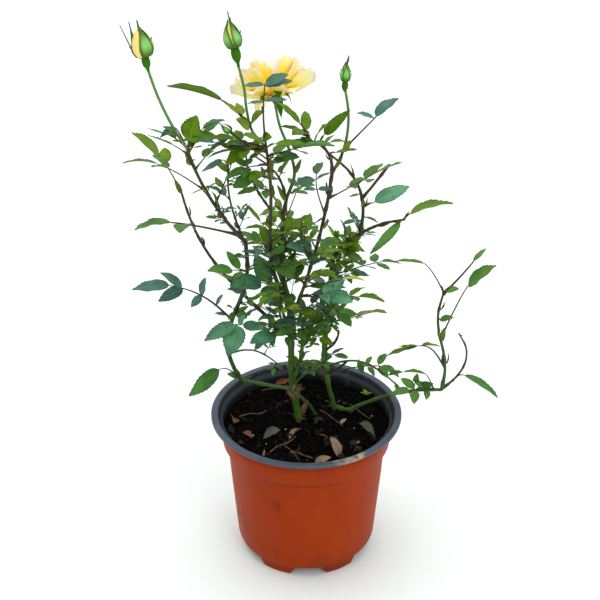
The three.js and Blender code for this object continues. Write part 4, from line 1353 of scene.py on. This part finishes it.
for stem, stock in stems.items():
    nodes = [cane for cane, spec in CANES.items() if spec[3] == stem]
    bark, slot = (stalk_bark, "flower_stalk") if stem == "flower_stalks" else (cane_bark, "cane")
    place(stem, stock, bark, slot, *nodes)


def prickle_shape(name, droop):
    """A thorn on a broad foot, its point bent down. It stands along +Y until it is set out."""
    stock = Stock()
    points = [Vector((0, t, -droop * t * t)) for t in np.linspace(-0.1, 1, 5)]
    tube(stock, points, [0.34, 0.24, 0.15, 0.08, 0.02], sides=5)
    return stock.mesh(name)


PRICKLE_PACE = 11 * MM
prickles = Layout(shape_set("prickle", [prickle_shape(f"prickle_{i}", 0.2 + 0.3 * i) for i in range(3)]))
for cane, spec in CANES.items():
    if spec[3] == "flower_stalks":
        continue
    line = lines[cane]
    rng = random.Random(cane + "_prickles")
    for share in np.arange(0.04, 0.96, PRICKLE_PACE / line.length):
        along = line.along(share)
        out = square_to(along, rng.uniform(0, TURN))
        foot = line.at(share + rng.uniform(-0.02, 0.02)) + out * line.radius(share) * 0.8
        lean = out + along * rng.uniform(0.0, 0.5)
        prickles.stand(foot, lean, along, rng.uniform(1.0, 2.1) * MM, rng.randrange(3))
horn = grain_finish("prickle_horn", (0.050, 0.020, 0.010), (0.120, 0.060, 0.028), 0.5)
place("prickles", prickles, horn, "cane", "main_cane", "right_cane")

# ---- Buds and bloom, in millimetres up and out from the end of the stalk ----

BUD_FOOT, SEPAL_FOOT, BUD_SHOULDER, SHOULDER_GIRTH, SEPAL_LENGTH = 8.5, 8.3, 12, 6.3, 24
BUD_BODY = np.array(
    [(2.2, 8.5), (4.9, 9.6), (6.3, 12.5), (6.6, 15), (6.0, 18), (4.7, 21), (3.0, 24), (1.2, 26)]
)
HIP_BODY = np.array([(1.0, 0), (1.7, 1.2), (2.7, 3), (3.05, 5.3), (2.7, 7.4), (2.3, 8.6)])
hips, bud_petals, bud_sepals = Stock(), Stock(), Stock()


def turned(stock, foot, axis, body, sides, scale, inset=0.0, tones=0.0):
    """A closed turned body along an axis, through (radius, height) points."""
    heights = np.linspace(body[0][1], body[-1][1], 18)
    radii = np.interp(heights, body[:, 1], body[:, 0])
    points = [Vector(foot) + axis * float(h) * scale for h in heights]
    tube(stock, points, np.maximum(radii - inset, 0.1) * scale, sides=sides, relief=0.05, tones=tones)


def around(axis, angle):
    """A unit vector square to an axis, turned from the front by an angle in degrees."""
    front = FRONT - axis * FRONT.dot(axis)
    front.normalize()
    front.rotate(Quaternion(axis, math.radians(angle)))
    return front


def girth_at(body, height):
    return float(np.interp(height, body[:, 1], body[:, 0]))


def blade(stock, rows, across, thick, spot_at, tones=0.0):
    """A thin closed blade. At t along it and u across it (-1 to 1) are a point and a place on its map."""
    grid = np.zeros((rows, across, 3))
    places = np.zeros((rows, across, 2))
    for i in range(rows):
        for j in range(across):
            grid[i, j], places[i, j] = spot_at(i / (rows - 1), 2 * j / (across - 1) - 1)
    sheet(stock, grid, thick, places, tones)


# How broad a sepal's half is at each height, before its thin end.
SEPAL_HEIGHTS, SEPAL_HALVES = (8.3, 11, 15, 19, 22.5, 25, 26.5), (2.4, 4.0, 4.3, 3.2, 1.7, 0.8, 0.5, 0.2)


def bud_sepal(foot, axis, body, angle, scale, tail, lean, wide, twist):
    """A sepal that follows the bud's side and runs out in a thin tail. One that leans stands off the bud
    from its shoulder, by so much for every mm that it rises."""
    top = SEPAL_LENGTH + tail
    stretch = (body[-1][1] - body[0][1]) / (BUD_BODY[-1][1] - BUD_BODY[0][1])
    girth = body[0][0] / BUD_BODY[0][0]

    def spot_at(t, u):
        level = SEPAL_FOOT + (top - SEPAL_FOOT) * t
        height = BUD_FOOT + (level - BUD_FOOT) * stretch
        out = around(axis, angle + twist * min(1, (level - SEPAL_FOOT) / 16))
        radius = girth_at(body, height)
        half = girth * wide * float(np.interp(level, (*SEPAL_HEIGHTS, top), SEPAL_HALVES))
        far = radius + 0.35
        if lean is not None and level > BUD_SHOULDER:
            far = max(far, SHOULDER_GIRTH * girth + lean * (level - BUD_SHOULDER))
        turn = min(half / max(radius, 0.8), 0.75) * u
        spot = out * math.cos(turn) * far + axis.cross(out) * (math.sin(turn) * radius + u * 0.1)
        return Vector(foot) + (axis * height + spot) * scale, (u, t * (top - SEPAL_FOOT) / SEPAL_LENGTH)

    blade(bud_sepals, 16, 7, 0.45 * scale, spot_at)


def barb(foot, axis, body, angle, level, scale):
    """A small lobe that stands out from a sepal's edge."""
    out = around(axis, angle)
    start = foot + (axis * level + out * girth_at(body, level)) * scale
    points = [start + (out * 1.5 + axis * 2.6) * scale * t for t in (0, 0.5, 1)]
    tube(bud_sepals, points, np.array([0.5, 0.36, 0.12]) * scale, sides=6)


BUD_LAYOUT = {
    # node: stalk, scale, girth, stretch, how far the body is lifted and the hip starts above the stalk's end
    # in mm, hip girth, sideways lean, twist, the sepals as (turn from the front, tail, breadth, and lean
    # where it stands off), and the barbs as (turn, height)
    "left_bud": (
        "left_bud_stalk", 1.0, 1.0, 1.0, 0.0, 0.6, 0.90, 0.0, 0,
        ((34, 8, 1.15), (98, 3, 0.95), (172, 6, 1.0), (-122, 7, 0.6, -0.03), (-84, 7, 0.45, 0.20)),
        ((-92, 14), (84, 18))),
    "mid_bud": (
        "mid_bud_stalk", 1.0, 0.84, 0.94, 3.15, 1.8, 1.05, -0.08, -24,
        ((52, 10, 1.0), (118, 5, 1.0), (180, 6, 1.0), (-116, 4, 1.0), (-32, 3, 1.12)),
        ((80, 17),)),
    "right_bud": (
        "right_bud_stalk", 0.6, 0.88, 1.12, -1.3, -3.1, 1.25, 0.0, 0,
        tuple((angle, 4, 1.15) for angle in (10, 82, 154, 226, 298)),
        ((-80, 16), (-95, 20), (82, 15), (95, 19))),
}
# The small bud's closed tip: how high each point stands, how far it sways, and its thickness.
SPIRE = (
    (13.5, 0, 1.5), (15.5, 0.1, 1.15), (17.5, 0.5, 0.85), (19.5, 1.1, 0.75), (21.5, 1.5, 0.5),
    (23.0, 1.7, 0.15),
)
BUDS = tuple(BUD_LAYOUT)
for bud, numbers in BUD_LAYOUT.items():
    stalk, scale, girth, stretch, lift, hip_foot, hip_girth, lean, twist, sepals, barbs = numbers
    foot = lines[stalk].at(1)
    points = corners_of(bud)
    top = Vector(points[np.argmax(np.linalg.norm(points - np.array(foot), axis=1))])
    axis = ((top - foot).normalized() + Vector((lean, 0, 0))).normalized()
    size = scale * MM
    reach = HIP_BODY[-1][1] * scale
    hip = HIP_BODY * np.array([hip_girth, (reach + lift - hip_foot) / reach])
    turned(hips, foot + axis * hip_foot * MM, axis, hip, 16, size)
    if hip_foot > 0:
        neck = [foot + axis * t * MM for t in (-0.4, 0.5 * hip_foot, hip_foot + 0.4)]
        tube(hips, neck, size, sides=12)
    body = np.column_stack((BUD_BODY[:, 0] * girth, BUD_FOOT + (BUD_BODY[:, 1] - BUD_FOOT) * stretch))
    seat = foot + axis * lift * MM
    turned(bud_petals, seat, axis, body, 20, size, inset=0.15, tones=0.3)
    for angle, tail, wide, *off in sepals:
        bud_sepal(seat, axis, body, angle, size, tail, off[0] if off else None, wide, twist)
    for angle, level in barbs:
        barb(seat, axis, body, angle, level, size)
    if bud == "right_bud":
        spire = [seat + (axis * height + Vector((sway, 0, 0))) * MM for height, sway, _ in SPIRE]
        tube(bud_sepals, spire, np.array([thick for *_, thick in SPIRE]) * MM, sides=8, relief=0.2)

DARK_BUD = 0.42 * MM
dark_tip, dark_axis = lines["dark_bud_twig"].at(1), lines["dark_bud_twig"].along(0.98)
turned(hips, dark_tip, dark_axis, HIP_BODY, 10, DARK_BUD)
for angle in (0, 120, 240):
    bud_sepal(dark_tip, dark_axis, BUD_BODY, angle, DARK_BUD, 8, None, 1.3, 0)

bloom_petals, bloom_heart, bloom_blush, bloom_sepals, stamens = (Stock() for _ in range(5))
bloom_foot = lines["bloom_stalk"].at(1)
bloom_axis = (Vector(corners_of("bloom").mean(0)) - bloom_foot).normalized()
turned(hips, bloom_foot - bloom_axis * 0.3 * MM, bloom_axis, HIP_BODY * np.array([1.0, 0.7]), 16, MM)
# How broad a petal's half is beside its breadth, along it.
PETAL_SHARES, PETAL_HALVES = (0, 0.25, 0.55, 0.8, 1.0), (0.12, 0.34, 0.50, 0.52, 0.42)


def petal(stock, angle, line, wide, rng, pale, ruffle, cup=0.22):
    """A petal from its claw to its rim, along a line of (radius, height) points off the bloom's axis."""
    line = np.array(line, float)
    out = around(bloom_axis, angle)
    aside = bloom_axis.cross(out)
    phase = rng.uniform(0, TURN)
    knots = np.linspace(0, 1, len(line))

    def spot_at(t, u):
        notch = 0.035 * math.sin(8 * u + 3 * phase) + 0.02 * math.sin(21 * u + phase)
        along = t * (1 - 0.26 * abs(u) ** 2.6 + notch)
        radius = float(np.interp(along, knots, line[:, 0]))
        height = float(np.interp(along, knots, line[:, 1]))
        half = wide * float(np.interp(along, PETAL_SHARES, PETAL_HALVES))
        height += cup * wide * u * u * along
        ripples = math.sin(5 * u + phase) + 0.5 * math.sin(13 * u + 2 * phase) + 0.3 * math.sin(23 * u)
        height += ruffle * along**3 * ripples
        spot = out * (radius - 0.10 * half * u * u) + aside * half * u + bloom_axis * height
        return bloom_foot + spot * MM, (u, along)

    blade(stock, 13, 17, 0.3 * MM, spot_at, min(1.0, max(0.0, pale + rng.uniform(-0.1, 0.1))))


# The petals, ring by ring: how pale the ring is, and each petal's turn from the front, rise, length and
# breadth.
BLOOM = (
    ("outer", 0.45, ((86, 22, 31, 28), (-82, 20, 29, 31), (110, 34, 31, 26), (-108, 33, 30, 26),
                     (-30, -38, 21, 12), (-50, -2, 22, 20), (42, -4, 24, 23))),
    ("outer", 0.25, ((66, 32, 29, 25), (-64, 35, 27, 24), (132, 44, 30, 27), (-136, 47, 30, 26),
                     (-174, 64, 34, 16))),
    ("inner", 0.05, ((-54, 56, 25, 18), (58, 52, 27, 19), (98, 56, 28, 22), (-100, 60, 27, 21),
                     (148, 62, 28, 21), (-152, 60, 28, 21))),
    ("blush", 0.2, ((3, 76, 25, 18),)),
    ("heart", 0.0, ((30, 72, 17, 14), (-34, 70, 17, 14), (92, 72, 17, 14), (-96, 74, 17, 14),
                    (150, 70, 18, 15), (-152, 72, 18, 15))),
)
BLOOM_STOCKS = {"outer": bloom_petals, "inner": bloom_petals, "heart": bloom_heart, "blush": bloom_blush}
ROLL_START, ROLL_DROP = 0.78, -2.0
for ring, (kind, pale, petals) in enumerate(BLOOM):
    rng = random.Random(f"petal_ring_{ring}")
    for turn, rise, length, wide in petals:
        slope = math.radians(rise + rng.uniform(-4, 4))
        start = 4.6 + 0.5 * ring
        shaped = []
        for t in np.linspace(0, 1, 7):
            hump = (-3.4 if rise > 0 else 2.0) * math.sin(math.pi * t) * length / 30
            out, up = length * t * math.cos(slope), length * t * math.sin(slope)
            roll = 0.6 * t
            if kind in ("outer", "blush"):
                roll = ROLL_DROP * max(0.0, t - ROLL_START) / (1 - ROLL_START)
            shaped.append((2.2 + out - hump * math.sin(slope), start + up + hump * math.cos(slope) + roll))
        turn += rng.uniform(-6, 6)
        wide *= rng.uniform(0.94, 1.06)
        petal(BLOOM_STOCKS[kind], turn, shaped, wide, rng, pale, 2.2 if kind == "outer" else 1.3)

STAMENS, STAMEN_TURN = 26, 137.5
rng = random.Random("stamens")
for i in range(STAMENS):
    out = around(bloom_axis, i * STAMEN_TURN)
    spread = rng.uniform(1.0, 4.6)
    points = [bloom_foot + (bloom_axis * (6 + 8 * t) + out * spread * t) * MM for t in (0, 0.4, 0.8, 1.0)]
    tube(stamens, points, np.array([0.14, 0.12, 0.32, 0.30]) * MM, sides=5)


def bloom_sepal(angle, reach):
    """A sepal under the bloom, laid back along the stalk and run out in a tail."""
    out = around(bloom_axis, angle)
    aside = bloom_axis.cross(out)

    def spot_at(t, u):
        radius = 2.4 + 13.5 * t * (1.25 - 0.6 * t)
        height = 5.4 + 3.0 * t - reach * t * t
        half = 3.2 * math.sin(math.pi * min(1, 0.28 + 0.72 * t)) ** 0.8 + 0.12
        spot = out * radius + aside * half * u + bloom_axis * (height + 0.5 * u * u)
        return bloom_foot + spot * MM, (u, t)

    blade(bloom_sepals, 12, 5, 0.35 * MM, spot_at)


rng = random.Random("sepals")
for i in range(5):
    bloom_sepal(72 * i + 20, rng.uniform(9, 17))

sepal_green = sepal_finish("sepal_green", (0.034, 0.074, 0.000), (0.220, 0.500, 0.125), (0.032, 0.095, 0.008))
hip_green = sepal_finish("hip_green", (0.032, 0.128, 0.003), (0.080, 0.240, 0.016), (0.045, 0.13, 0.015))
petal_yellow = petal_finish("rose_petal", (0.94, 0.60, 0.000), (0.95, 0.77, 0.03), (0.88, 0.58, 0.64))
blush = petal_finish("blush_petal", (0.93, 0.74, 0.35), (0.93, 0.78, 0.74), (0.88, 0.62, 0.68))
heart_yellow = petal_finish("rose_heart", (0.92, 0.48, 0.001), (0.94, 0.62, 0.01), (0.94, 0.76, 0.24))
bud_yellow = petal_finish("bud_petal", (0.84, 0.66, 0.16), (0.95, 0.67, 0.24), (0.95, 0.62, 0.36))
stamen_gold = grain_finish("stamen_gold", (0.55, 0.30, 0.03), (0.85, 0.58, 0.08), 0.6)
place("bud_hips", hips, hip_green, "bud", *BUDS)
place("bud_petals", bud_petals, bud_yellow, "petal", *BUDS)
place("bud_sepals", bud_sepals, sepal_green, "bud", *BUDS)
place("bloom_petals", bloom_petals, petal_yellow, "petal", "bloom")
place("bloom_heart", bloom_heart, heart_yellow, "petal", "bloom")
place("bloom_blush", bloom_blush, blush, "petal", "bloom")
place("bloom_sepals", bloom_sepals, hip_green, "bud", "bloom")
place("bloom_stamens", stamens, stamen_gold, "petal", "bloom")

# ---- Foliage pieces ----

BRACT_PACE, BRACT_BREADTH = 24 * MM, 1.7
for tint, layout in leaf_layouts.items():
    finish = leaf_finish("leaf_" + tint, *TINTS[tint])
    place("leaves_" + tint, layout, finish, "leaf", *sorted(leaf_nodes[tint]))
rng = random.Random("bracts")
for cane in BRACTED:
    line = lines[cane]
    for share in np.arange(0.25 + rng.uniform(0, 0.1), 0.98, BRACT_PACE / line.length):
        along = line.along(share)
        for i in range(2):
            out = square_to(along, rng.uniform(0, TURN))
            size = rng.uniform(6.5, 11) * MM
            way = along + out * rng.uniform(0.1, 0.5)
            stipules.stand(line.at(share) + out * 0.7 * MM, way, out, size, rng.randrange(4), BRACT_BREADTH)
for cane, share, way, size, breadth in SHEATHS:
    way = Vector(way).normalized()
    for form, out in enumerate((FACING_OUT, -FACING_OUT)):
        stipules.stand(lines[cane].at(share) + out * 0.9 * MM, way, out, size * MM, form, breadth)
stipule_green = leaf_finish("stipule", (0.095, 0.070, 0.008), (0.130, 0.190, 0.016), (0.120, 0.120, 0.024))
stalk_green = cane_finish("leaf_stalk", (0.060, 0.130, 0.018), (0.060, 0.060, 0.018), (0.085, 0.020, 0.014))
place("stipules", stipules, stipule_green, "leaf", *sorted(stalk_nodes))
place("leaf_stalks", leaf_stalks, stalk_green, "leaf", *sorted(stalk_nodes))

# ---- Pot and potting mix ----


def notch_height(angle, radius):
    """How high the foot's edge is lifted at an angle round the pot."""
    pitch = 2 * math.pi / NOTCH["count"]
    off = (angle - math.radians(NOTCH["turn"]) + math.pi / 2 + pitch / 2) % pitch - pitch / 2
    edge = (NOTCH["bottom"] / 2 - abs(off) * radius) / ((NOTCH["bottom"] - NOTCH["top"]) / 2)
    return min(1.0, max(0.0, edge)) * (NOTCH["height"] - 0.35)


def ring_places(radius, count):
    """Each point of a ring round the pot's axis: its angle, and where it stands."""
    for i in range(count):
        angle = 2 * math.pi * i / count
        yield angle, radius * math.cos(angle), radius * math.sin(angle)


def lathe(profile, notched=()):
    """A closed ring or cup turned round the pot's axis. Rows numbered in notched rise over the notches."""
    stock = Stock()
    rows = []
    for row, (radius, height) in enumerate(profile):
        for angle, x, y in ring_places(radius, POT_SIDES):
            lift = height
            if row in notched:
                lift = max(height, notch_height(angle, radius) + height * 0.04)
            rows.append((x * MM, y * MM, lift * MM))
    count = len(profile)
    last = (count - 1) * POT_SIDES
    faces = strip_faces(count, POT_SIDES)
    faces += [(last + i, last + (i + 1) % POT_SIDES, (i + 1) % POT_SIDES, i) for i in range(POT_SIDES)]
    stock.add(rows, faces, [(i / POT_SIDES, row / count) for row in range(count) for i in range(POT_SIDES)])
    return stock


# The pot's two skins, as (radius, height) points: up the outside and down the inside.
SHELL = (
    (FOOT_IN, 0), (FOOT_IN + 0.3, 0), (FOOT_OUT - 0.3, 0), (FOOT_OUT, 0.3), (FOOT_TOP, 8.0),
    (FOOT_TOP + 0.5, 8.3), (HEEL, 8.6), (HEEL + 0.7, 9.8), (BODY_FOOT, 12), (BODY_FOOT + 2.3, 38),
    (BODY_TOP - 1.8, 66), (BODY_TOP - 0.15, 89), (BODY_TOP, 90), (BODY_TOP + 1.1, 90.8),
    (COLLAR_FOOT - 0.7, 92.0), (COLLAR_FOOT, 93.2), (COLLAR_FOOT + 0.7, 102), (COLLAR_TOP - 0.2, 111.6),
    (COLLAR_TOP - 0.2 - SKIN, 111.6), (COLLAR_FOOT - SKIN, 93.2), (BODY_TOP - SKIN, 90.2),
    (BODY_FOOT - SKIN, 12), (FOOT_TOP - 1.4, 8.9), (FOOT_IN, 8.4),
)
LINER = (
    (COLLAR_TOP - 0.1, 111.7), (COLLAR_TOP + 0.4, 114.1), (LIP - WALL, 114.3), (LIP - WALL, 113.7),
    (LIP - 0.2, 113.7), (LIP, 113.9), (LIP, 115.2), (LIP - 0.25, 115.75), (LIP - 0.8, POT_HEIGHT),
    (66.5, POT_HEIGHT + 0.05), (MOUTH + 1.1, 115.9), (MOUTH + 0.3, 115.3), (MOUTH - 0.3, 113),
    (LEDGE + 0.6, 112.2), (LEDGE - 0.7, 111.7), (COLLAR_FOOT - 0.5, 104), (COLLAR_FOOT - WALL, 92.5),
    (BODY_TOP - WALL, 90), (BODY_FOOT - WALL, 13.4), (HEEL - 2 * WALL, 9.5), (DISC + 4, 9.4),
    (DISC + 1, 1.3), (0.02, 1.2), (0.02, 0.0), (DISC, 0.0), (DISH, RECESS),
    (FOOT_IN + 1.5, RECESS + 0.1), (FOOT_TOP - 0.9, 9.6), (BODY_FOOT - SKIN - 0.05, 13),
    (BODY_TOP - SKIN - 0.05, 90.2), (COLLAR_FOOT - SKIN - 0.05, 93.1), (COLLAR_TOP - 0.9, 111),
)
place("pot_shell", lathe(SHELL, notched=(0, 1, 2, 3)), pot_outside_finish(), "pot_outside", "pot")
place("pot_liner", lathe(LINER), pot_inside_finish(), "pot_outside", "pot")
SOIL_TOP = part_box("soil")[1].z


def on_mix(x, y, rise=0.0):
    """A point over the mix, which lies a little mounded and rough and climbs to the pot's wall."""
    spot = Vector((x, y, 0))
    lumps = 1.5 * noise.noise(spot * 0.09) + 0.9 * noise.noise(spot * 0.3 + Vector((7, 0, 0)))
    lumps = lumps + 0.5 * noise.noise(spot * 0.8) + 3.5 * min(1, max(0, (math.hypot(x, y) - 44) / 13))
    return Vector((x * MM, y * MM, SOIL_TOP + (lumps + rise) * MM))


def mix_rings(radii, count, rise=0.0):
    return [on_mix(x, y, rise) for radius in radii for _, x, y in ring_places(radius, count)]


def make_soil():
    radii = [0.4, *np.linspace(2, 60.2, 44)]
    rows = mix_rings(radii, MIX_SIDES)
    below = ((56.6, 89), (50.2, 14), (47.5, 10))
    for radius, height in below:
        rows += [(x * MM, y * MM, height * MM) for _, x, y in ring_places(radius, MIX_SIDES)]
    total = len(radii) + len(below)
    faces = strip_faces(total, MIX_SIDES)
    faces += [tuple(reversed(range(MIX_SIDES))), tuple((total - 1) * MIX_SIDES + i for i in range(MIX_SIDES))]
    stock = Stock()
    stock.add(rows, faces)
    place("potting_mix", stock, mix_finish(), "potting_mix", "soil")


def strewn_bed(inner, outer, rows=14):
    """The disc of mix that crumbs and chips lie on."""
    mesh = bpy.data.meshes.new("bed")
    points = mix_rings(np.linspace(inner, outer, rows), BED_SIDES, 0.25)
    mesh.from_pydata(points, [], strip_faces(rows, BED_SIDES))
    return mesh


def lump_shape(name, seed, flat=1.0, rough=0.35):
    """A rough crumb about one metre across until it is strewn."""
    work = bmesh.new()
    bmesh.ops.create_icosphere(work, subdivisions=1, radius=0.5)
    rng = random.Random(seed)
    for vertex in work.verts:
        vertex.co *= 1 + rng.uniform(-rough, rough)
        vertex.co.z *= flat
    mesh = bpy.data.meshes.new(name)
    work.to_mesh(mesh)
    work.free()
    return mesh


make_soil()
CRUMBS = shape_set("crumb", [lump_shape(f"crumb_{i}", i, 0.7) for i in range(6)])
CHIPS = shape_set("chip", [lump_shape(f"chip_{i}", 20 + i, 0.28, 0.45) for i in range(5)])
bed = strewn_bed(1.5, 58.8)
LITTER = (
    # dead leaves: where (mm), which way the tip points, which way the face looks, length and tint
    ((-4, -2), (-0.45, -0.85, 0.10), (-0.5, -0.2, 0.8), 18, "tan"),
    ((22, -38), (-0.25, 0.95, 0.25), (0.6, -0.5, 0.6), 19, "tan"),
    ((13, -24), (0.75, 0.6, 0.20), (0.2, -0.7, 0.7), 13, "brown"),
    ((40, 4), (0.45, -0.85, 0.05), (0.1, -0.3, 0.9), 21, "faded"),
    ((-20, -4), (-0.62, -0.75, 0.05), (-0.2, -0.4, 0.9), 18, "faded"),
    ((-55, 8), (0.10, -0.9, 0.30), (0.6, -0.3, 0.75), 17, "rust"),
    ((-24, 52), (0.9, 0.3, 0.1), (0.2, -0.7, 0.7), 13, "rust"),
    ((4, 8), (0.7, -0.6, 0.35), (0.3, -0.3, 0.9), 14, "brown"),
    ((-2, 14), (0.3, 0.9, 0.5), (-0.7, -0.4, 0.6), 13, "rust"),
    ((-46, -8), (0.5, -0.8, 0.1), (0.1, -0.3, 0.9), 12, "rust"),
    ((6, -46), (0.9, 0.2, 0.2), (0.2, -0.5, 0.8), 12, "tan"),
)
DEAD = {
    "tan": ((0.170, 0.105, 0.060), (0.330, 0.225, 0.140), (0.240, 0.170, 0.110)),
    "brown": ((0.008, 0.005, 0.003), (0.032, 0.019, 0.012), (0.032, 0.019, 0.012)),
    "rust": ((0.080, 0.024, 0.008), (0.190, 0.070, 0.026), (0.150, 0.060, 0.028)),
    "faded": ((0.034, 0.050, 0.026), (0.095, 0.120, 0.064), (0.090, 0.100, 0.058)),
}
SCRAPS = 34
SCRAP_TINTS = ("brown", "brown", "brown", "brown", "rust", "tan")
litter = {tint: Layout(LEAFLETS) for tint in DEAD}
rng = random.Random("litter")
for (x, y), direction, face, size, tint in LITTER:
    form = rng.choice((4, 8, 9, 11, 5))
    litter[tint].stand(on_mix(x, y, 1.6), direction, face, size * MM, form, 0.9, 1.3)
for i in range(SCRAPS):
    angle, out = rng.uniform(0, TURN), 55 * math.sqrt(rng.random())
    where = on_mix(out * math.cos(angle), out * math.sin(angle), 0.8)
    direction = Vector((math.cos(5 * angle), math.sin(5 * angle), rng.uniform(0, 0.4)))
    size = rng.uniform(3.5, 7.5) * MM
    scraps = litter[rng.choice(SCRAP_TINTS)]
    scraps.stand(where, direction, UP + any_way(rng, 0.8), size, rng.choice((3, 5, 8, 9, 11)))
for tint, layout in litter.items():
    place("fallen_leaves_" + tint, layout, leaf_finish("dead_" + tint, *DEAD[tint]), "potting_mix", "soil")

# Sticks on the mix: from where to where, and how thick, in mm.
STICKS = (
    ((-28, -36), (-8, -13), 0.55), ((10, 22), (27, 2), 0.45), ((-12, -33), (4, -38), 0.6),
    ((-16, -24), (-2, -46), 0.4), ((-50, 10), (-30, 22), 0.5), ((30, 30), (48, 10), 0.45),
    ((-34, 44), (-8, 50), 0.5), ((8, -10), (22, -20), 0.5),
)
sticks = Stock()
for (x0, y0), (x1, y1), radius in STICKS:
    middles = []
    for t in np.linspace(0, 1, 7):
        crook = 1.5 * math.sin(5 * t)
        middles.append(on_mix(x0 + (x1 - x0) * t, y0 + (y1 - y0) * t + crook, 1.6))
    tube(sticks, middles, radius * MM, sides=6, relief=0.2, tones=0.5)
stick_grey = grain_finish("stick_grey", (0.055, 0.040, 0.028), (0.170, 0.130, 0.095))
place("fallen_sticks", sticks, stick_grey, "potting_mix", "soil")

seedling = Layout(LEAFLETS)
rng = random.Random("seedling")
for i in range(7):
    where = on_mix(50 + rng.uniform(-7, 7), 36 + rng.uniform(-4, 4), 2.0)
    seedling.stand(where, (math.cos(i * 2.4), math.sin(i * 2.4), 0.5), UP, 6 * MM, rng.choice((0, 6)))
place("seedling", seedling, leaf_finish("seedling_green", *TINTS["young"]), "leaf", "soil")

# Knuckles: the cane and how far along it, how many woolly scales it has, and its reach in mm. The first two
# are lumpy with callus.
KNUCKLES = (
    ("main_cane", 0.245, 90, 6.0), ("right_cane", 0.30, 70, 5.6), ("low_left_cane", 0.92, 10, 2.8),
    ("right_cane", 0.06, 16, 4.0), ("main_cane", 0.05, 16, 4.6),
)
LUMPS, SCALE_WIDTH = 26, 3
wool, callus = Layout(BLADES), Layout(CRUMBS)
rng = random.Random("wool")
for cane, share, count, spread in KNUCKLES:
    centre = lines[cane].at(share)
    for i in range(count):
        out = any_way(rng, 1).normalized()
        where = centre + out * spread * rng.uniform(0.45, 1) * MM
        way, face = out + any_way(rng, 0.9), any_way(rng, 1)
        size = rng.uniform(2.5, 5.5)
        wool.stand(where, way, face, size * MM, rng.randrange(4), SCALE_WIDTH / size, SCALE_WIDTH / size)
for cane, share, count, spread in KNUCKLES[:2]:
    centre = lines[cane].at(share)
    for i in range(LUMPS):
        out = any_way(rng, 1).normalized()
        where = centre + Vector((out.x * 0.62, out.y * 0.62, out.z)) * spread * MM
        callus.stand(where, any_way(rng, 1), any_way(rng, 1), rng.uniform(1.6, 3.4) * MM, rng.randrange(6))
scar_brown = grain_finish("scar_brown", (0.070, 0.050, 0.026), (0.270, 0.205, 0.120))
place("callus", callus, scar_brown, "cane", "main_cane", "right_cane")
place("knuckle_scars", wool, scar_brown, "cane", "main_cane", "right_cane")

STREWN = (
    # piece, shapes, density per square metre, smallest and largest in mm, seed, dark and light tint
    ("mix_crumbs", CRUMBS, 150000.0, 1.0, 4.2, 3, (0.0005, 0.0005, 0.0005), (0.0056, 0.0048, 0.0044)),
    ("bark_chips", CHIPS, 20000.0, 2.5, 6.5, 8, (0.001, 0.0008, 0.0006), (0.020, 0.012, 0.008)),
    ("husks", CHIPS, 2200.0, 4.0, 9.0, 14, (0.012, 0.009, 0.008), (0.060, 0.047, 0.040)),
    ("perlite", CRUMBS, 3000.0, 0.6, 1.6, 5, (0.28, 0.28, 0.27), (0.62, 0.62, 0.60)),
)
for name, shapes, density, least, most, seed, dark, light in STREWN:
    finish = grain_finish(name + "_finish", dark, light)
    made = grow_from(bed.copy(), STREW, Shapes=shapes, Material=finish, Density=density, Smallest=least * MM,
                     Largest=most * MM, Seed=seed)
    place(name, made, finish, "potting_mix", "soil")

# ---- Camera, lights and floor ----

CAMERA_AT, CAMERA_DROP, LENS, SENSOR = (-0.00466, -0.87027, 0.70168), 29.51, 85.25, 36
SKY_STRENGTH, SUN_STRENGTH, SUN_SPREAD, SUN_TILT = 0.88, 1.6, 70, (-12, -6)
LAMP_AT, LAMP_AIM, LAMP_SIZE, LAMP_POWER = Vector((0.9, -1.6, 1.2)), Vector((0, 0, 0.25)), 1.0, 10
FLOOR_REACH = 30
scene = bpy.context.scene


def link(name, data, at=(0, 0, 0), turn=(0, 0, 0)):
    made = bpy.data.objects.new(name, data)
    made.location, made.rotation_euler = at, turn
    scene.collection.objects.link(made)
    return made


camera = link("camera", bpy.data.cameras.new("camera"), CAMERA_AT, (math.radians(90 - CAMERA_DROP), 0, 0))
camera.data.lens = LENS
camera.data.sensor_width = SENSOR
camera.data.clip_start, camera.data.clip_end = 0.01, 100
scene.camera = camera
scene.view_settings.view_transform = "Standard"

world = bpy.data.worlds.new("studio")
world.use_nodes = True
sky = world.node_tree.nodes["Background"].inputs
sky["Color"].default_value = (1, 1, 1, 1)
sky["Strength"].default_value = SKY_STRENGTH
scene.world = world

sun_turn = [math.radians(degrees) for degrees in (*SUN_TILT, 0)]
sun = link("sky_light", bpy.data.lights.new("sky_light", "SUN"), turn=sun_turn)
sun.data.energy, sun.data.angle = SUN_STRENGTH, math.radians(SUN_SPREAD)
lamp_turn = (LAMP_AIM - LAMP_AT).to_track_quat("-Z", "Y").to_euler()
lamp = link("front_light", bpy.data.lights.new("front_light", "AREA"), LAMP_AT, lamp_turn)
lamp.data.energy, lamp.data.size = LAMP_POWER, LAMP_SIZE

floor_mesh = bpy.data.meshes.new("floor")
corners = [(x * FLOOR_REACH, y * FLOOR_REACH, 0) for x, y in ((-1, -1), (1, -1), (1, 1), (-1, 1))]
floor_mesh.from_pydata(corners, [], [(0, 1, 2, 3)])
floor_mesh.materials.append(floor_finish())
floor = link("floor", floor_mesh)
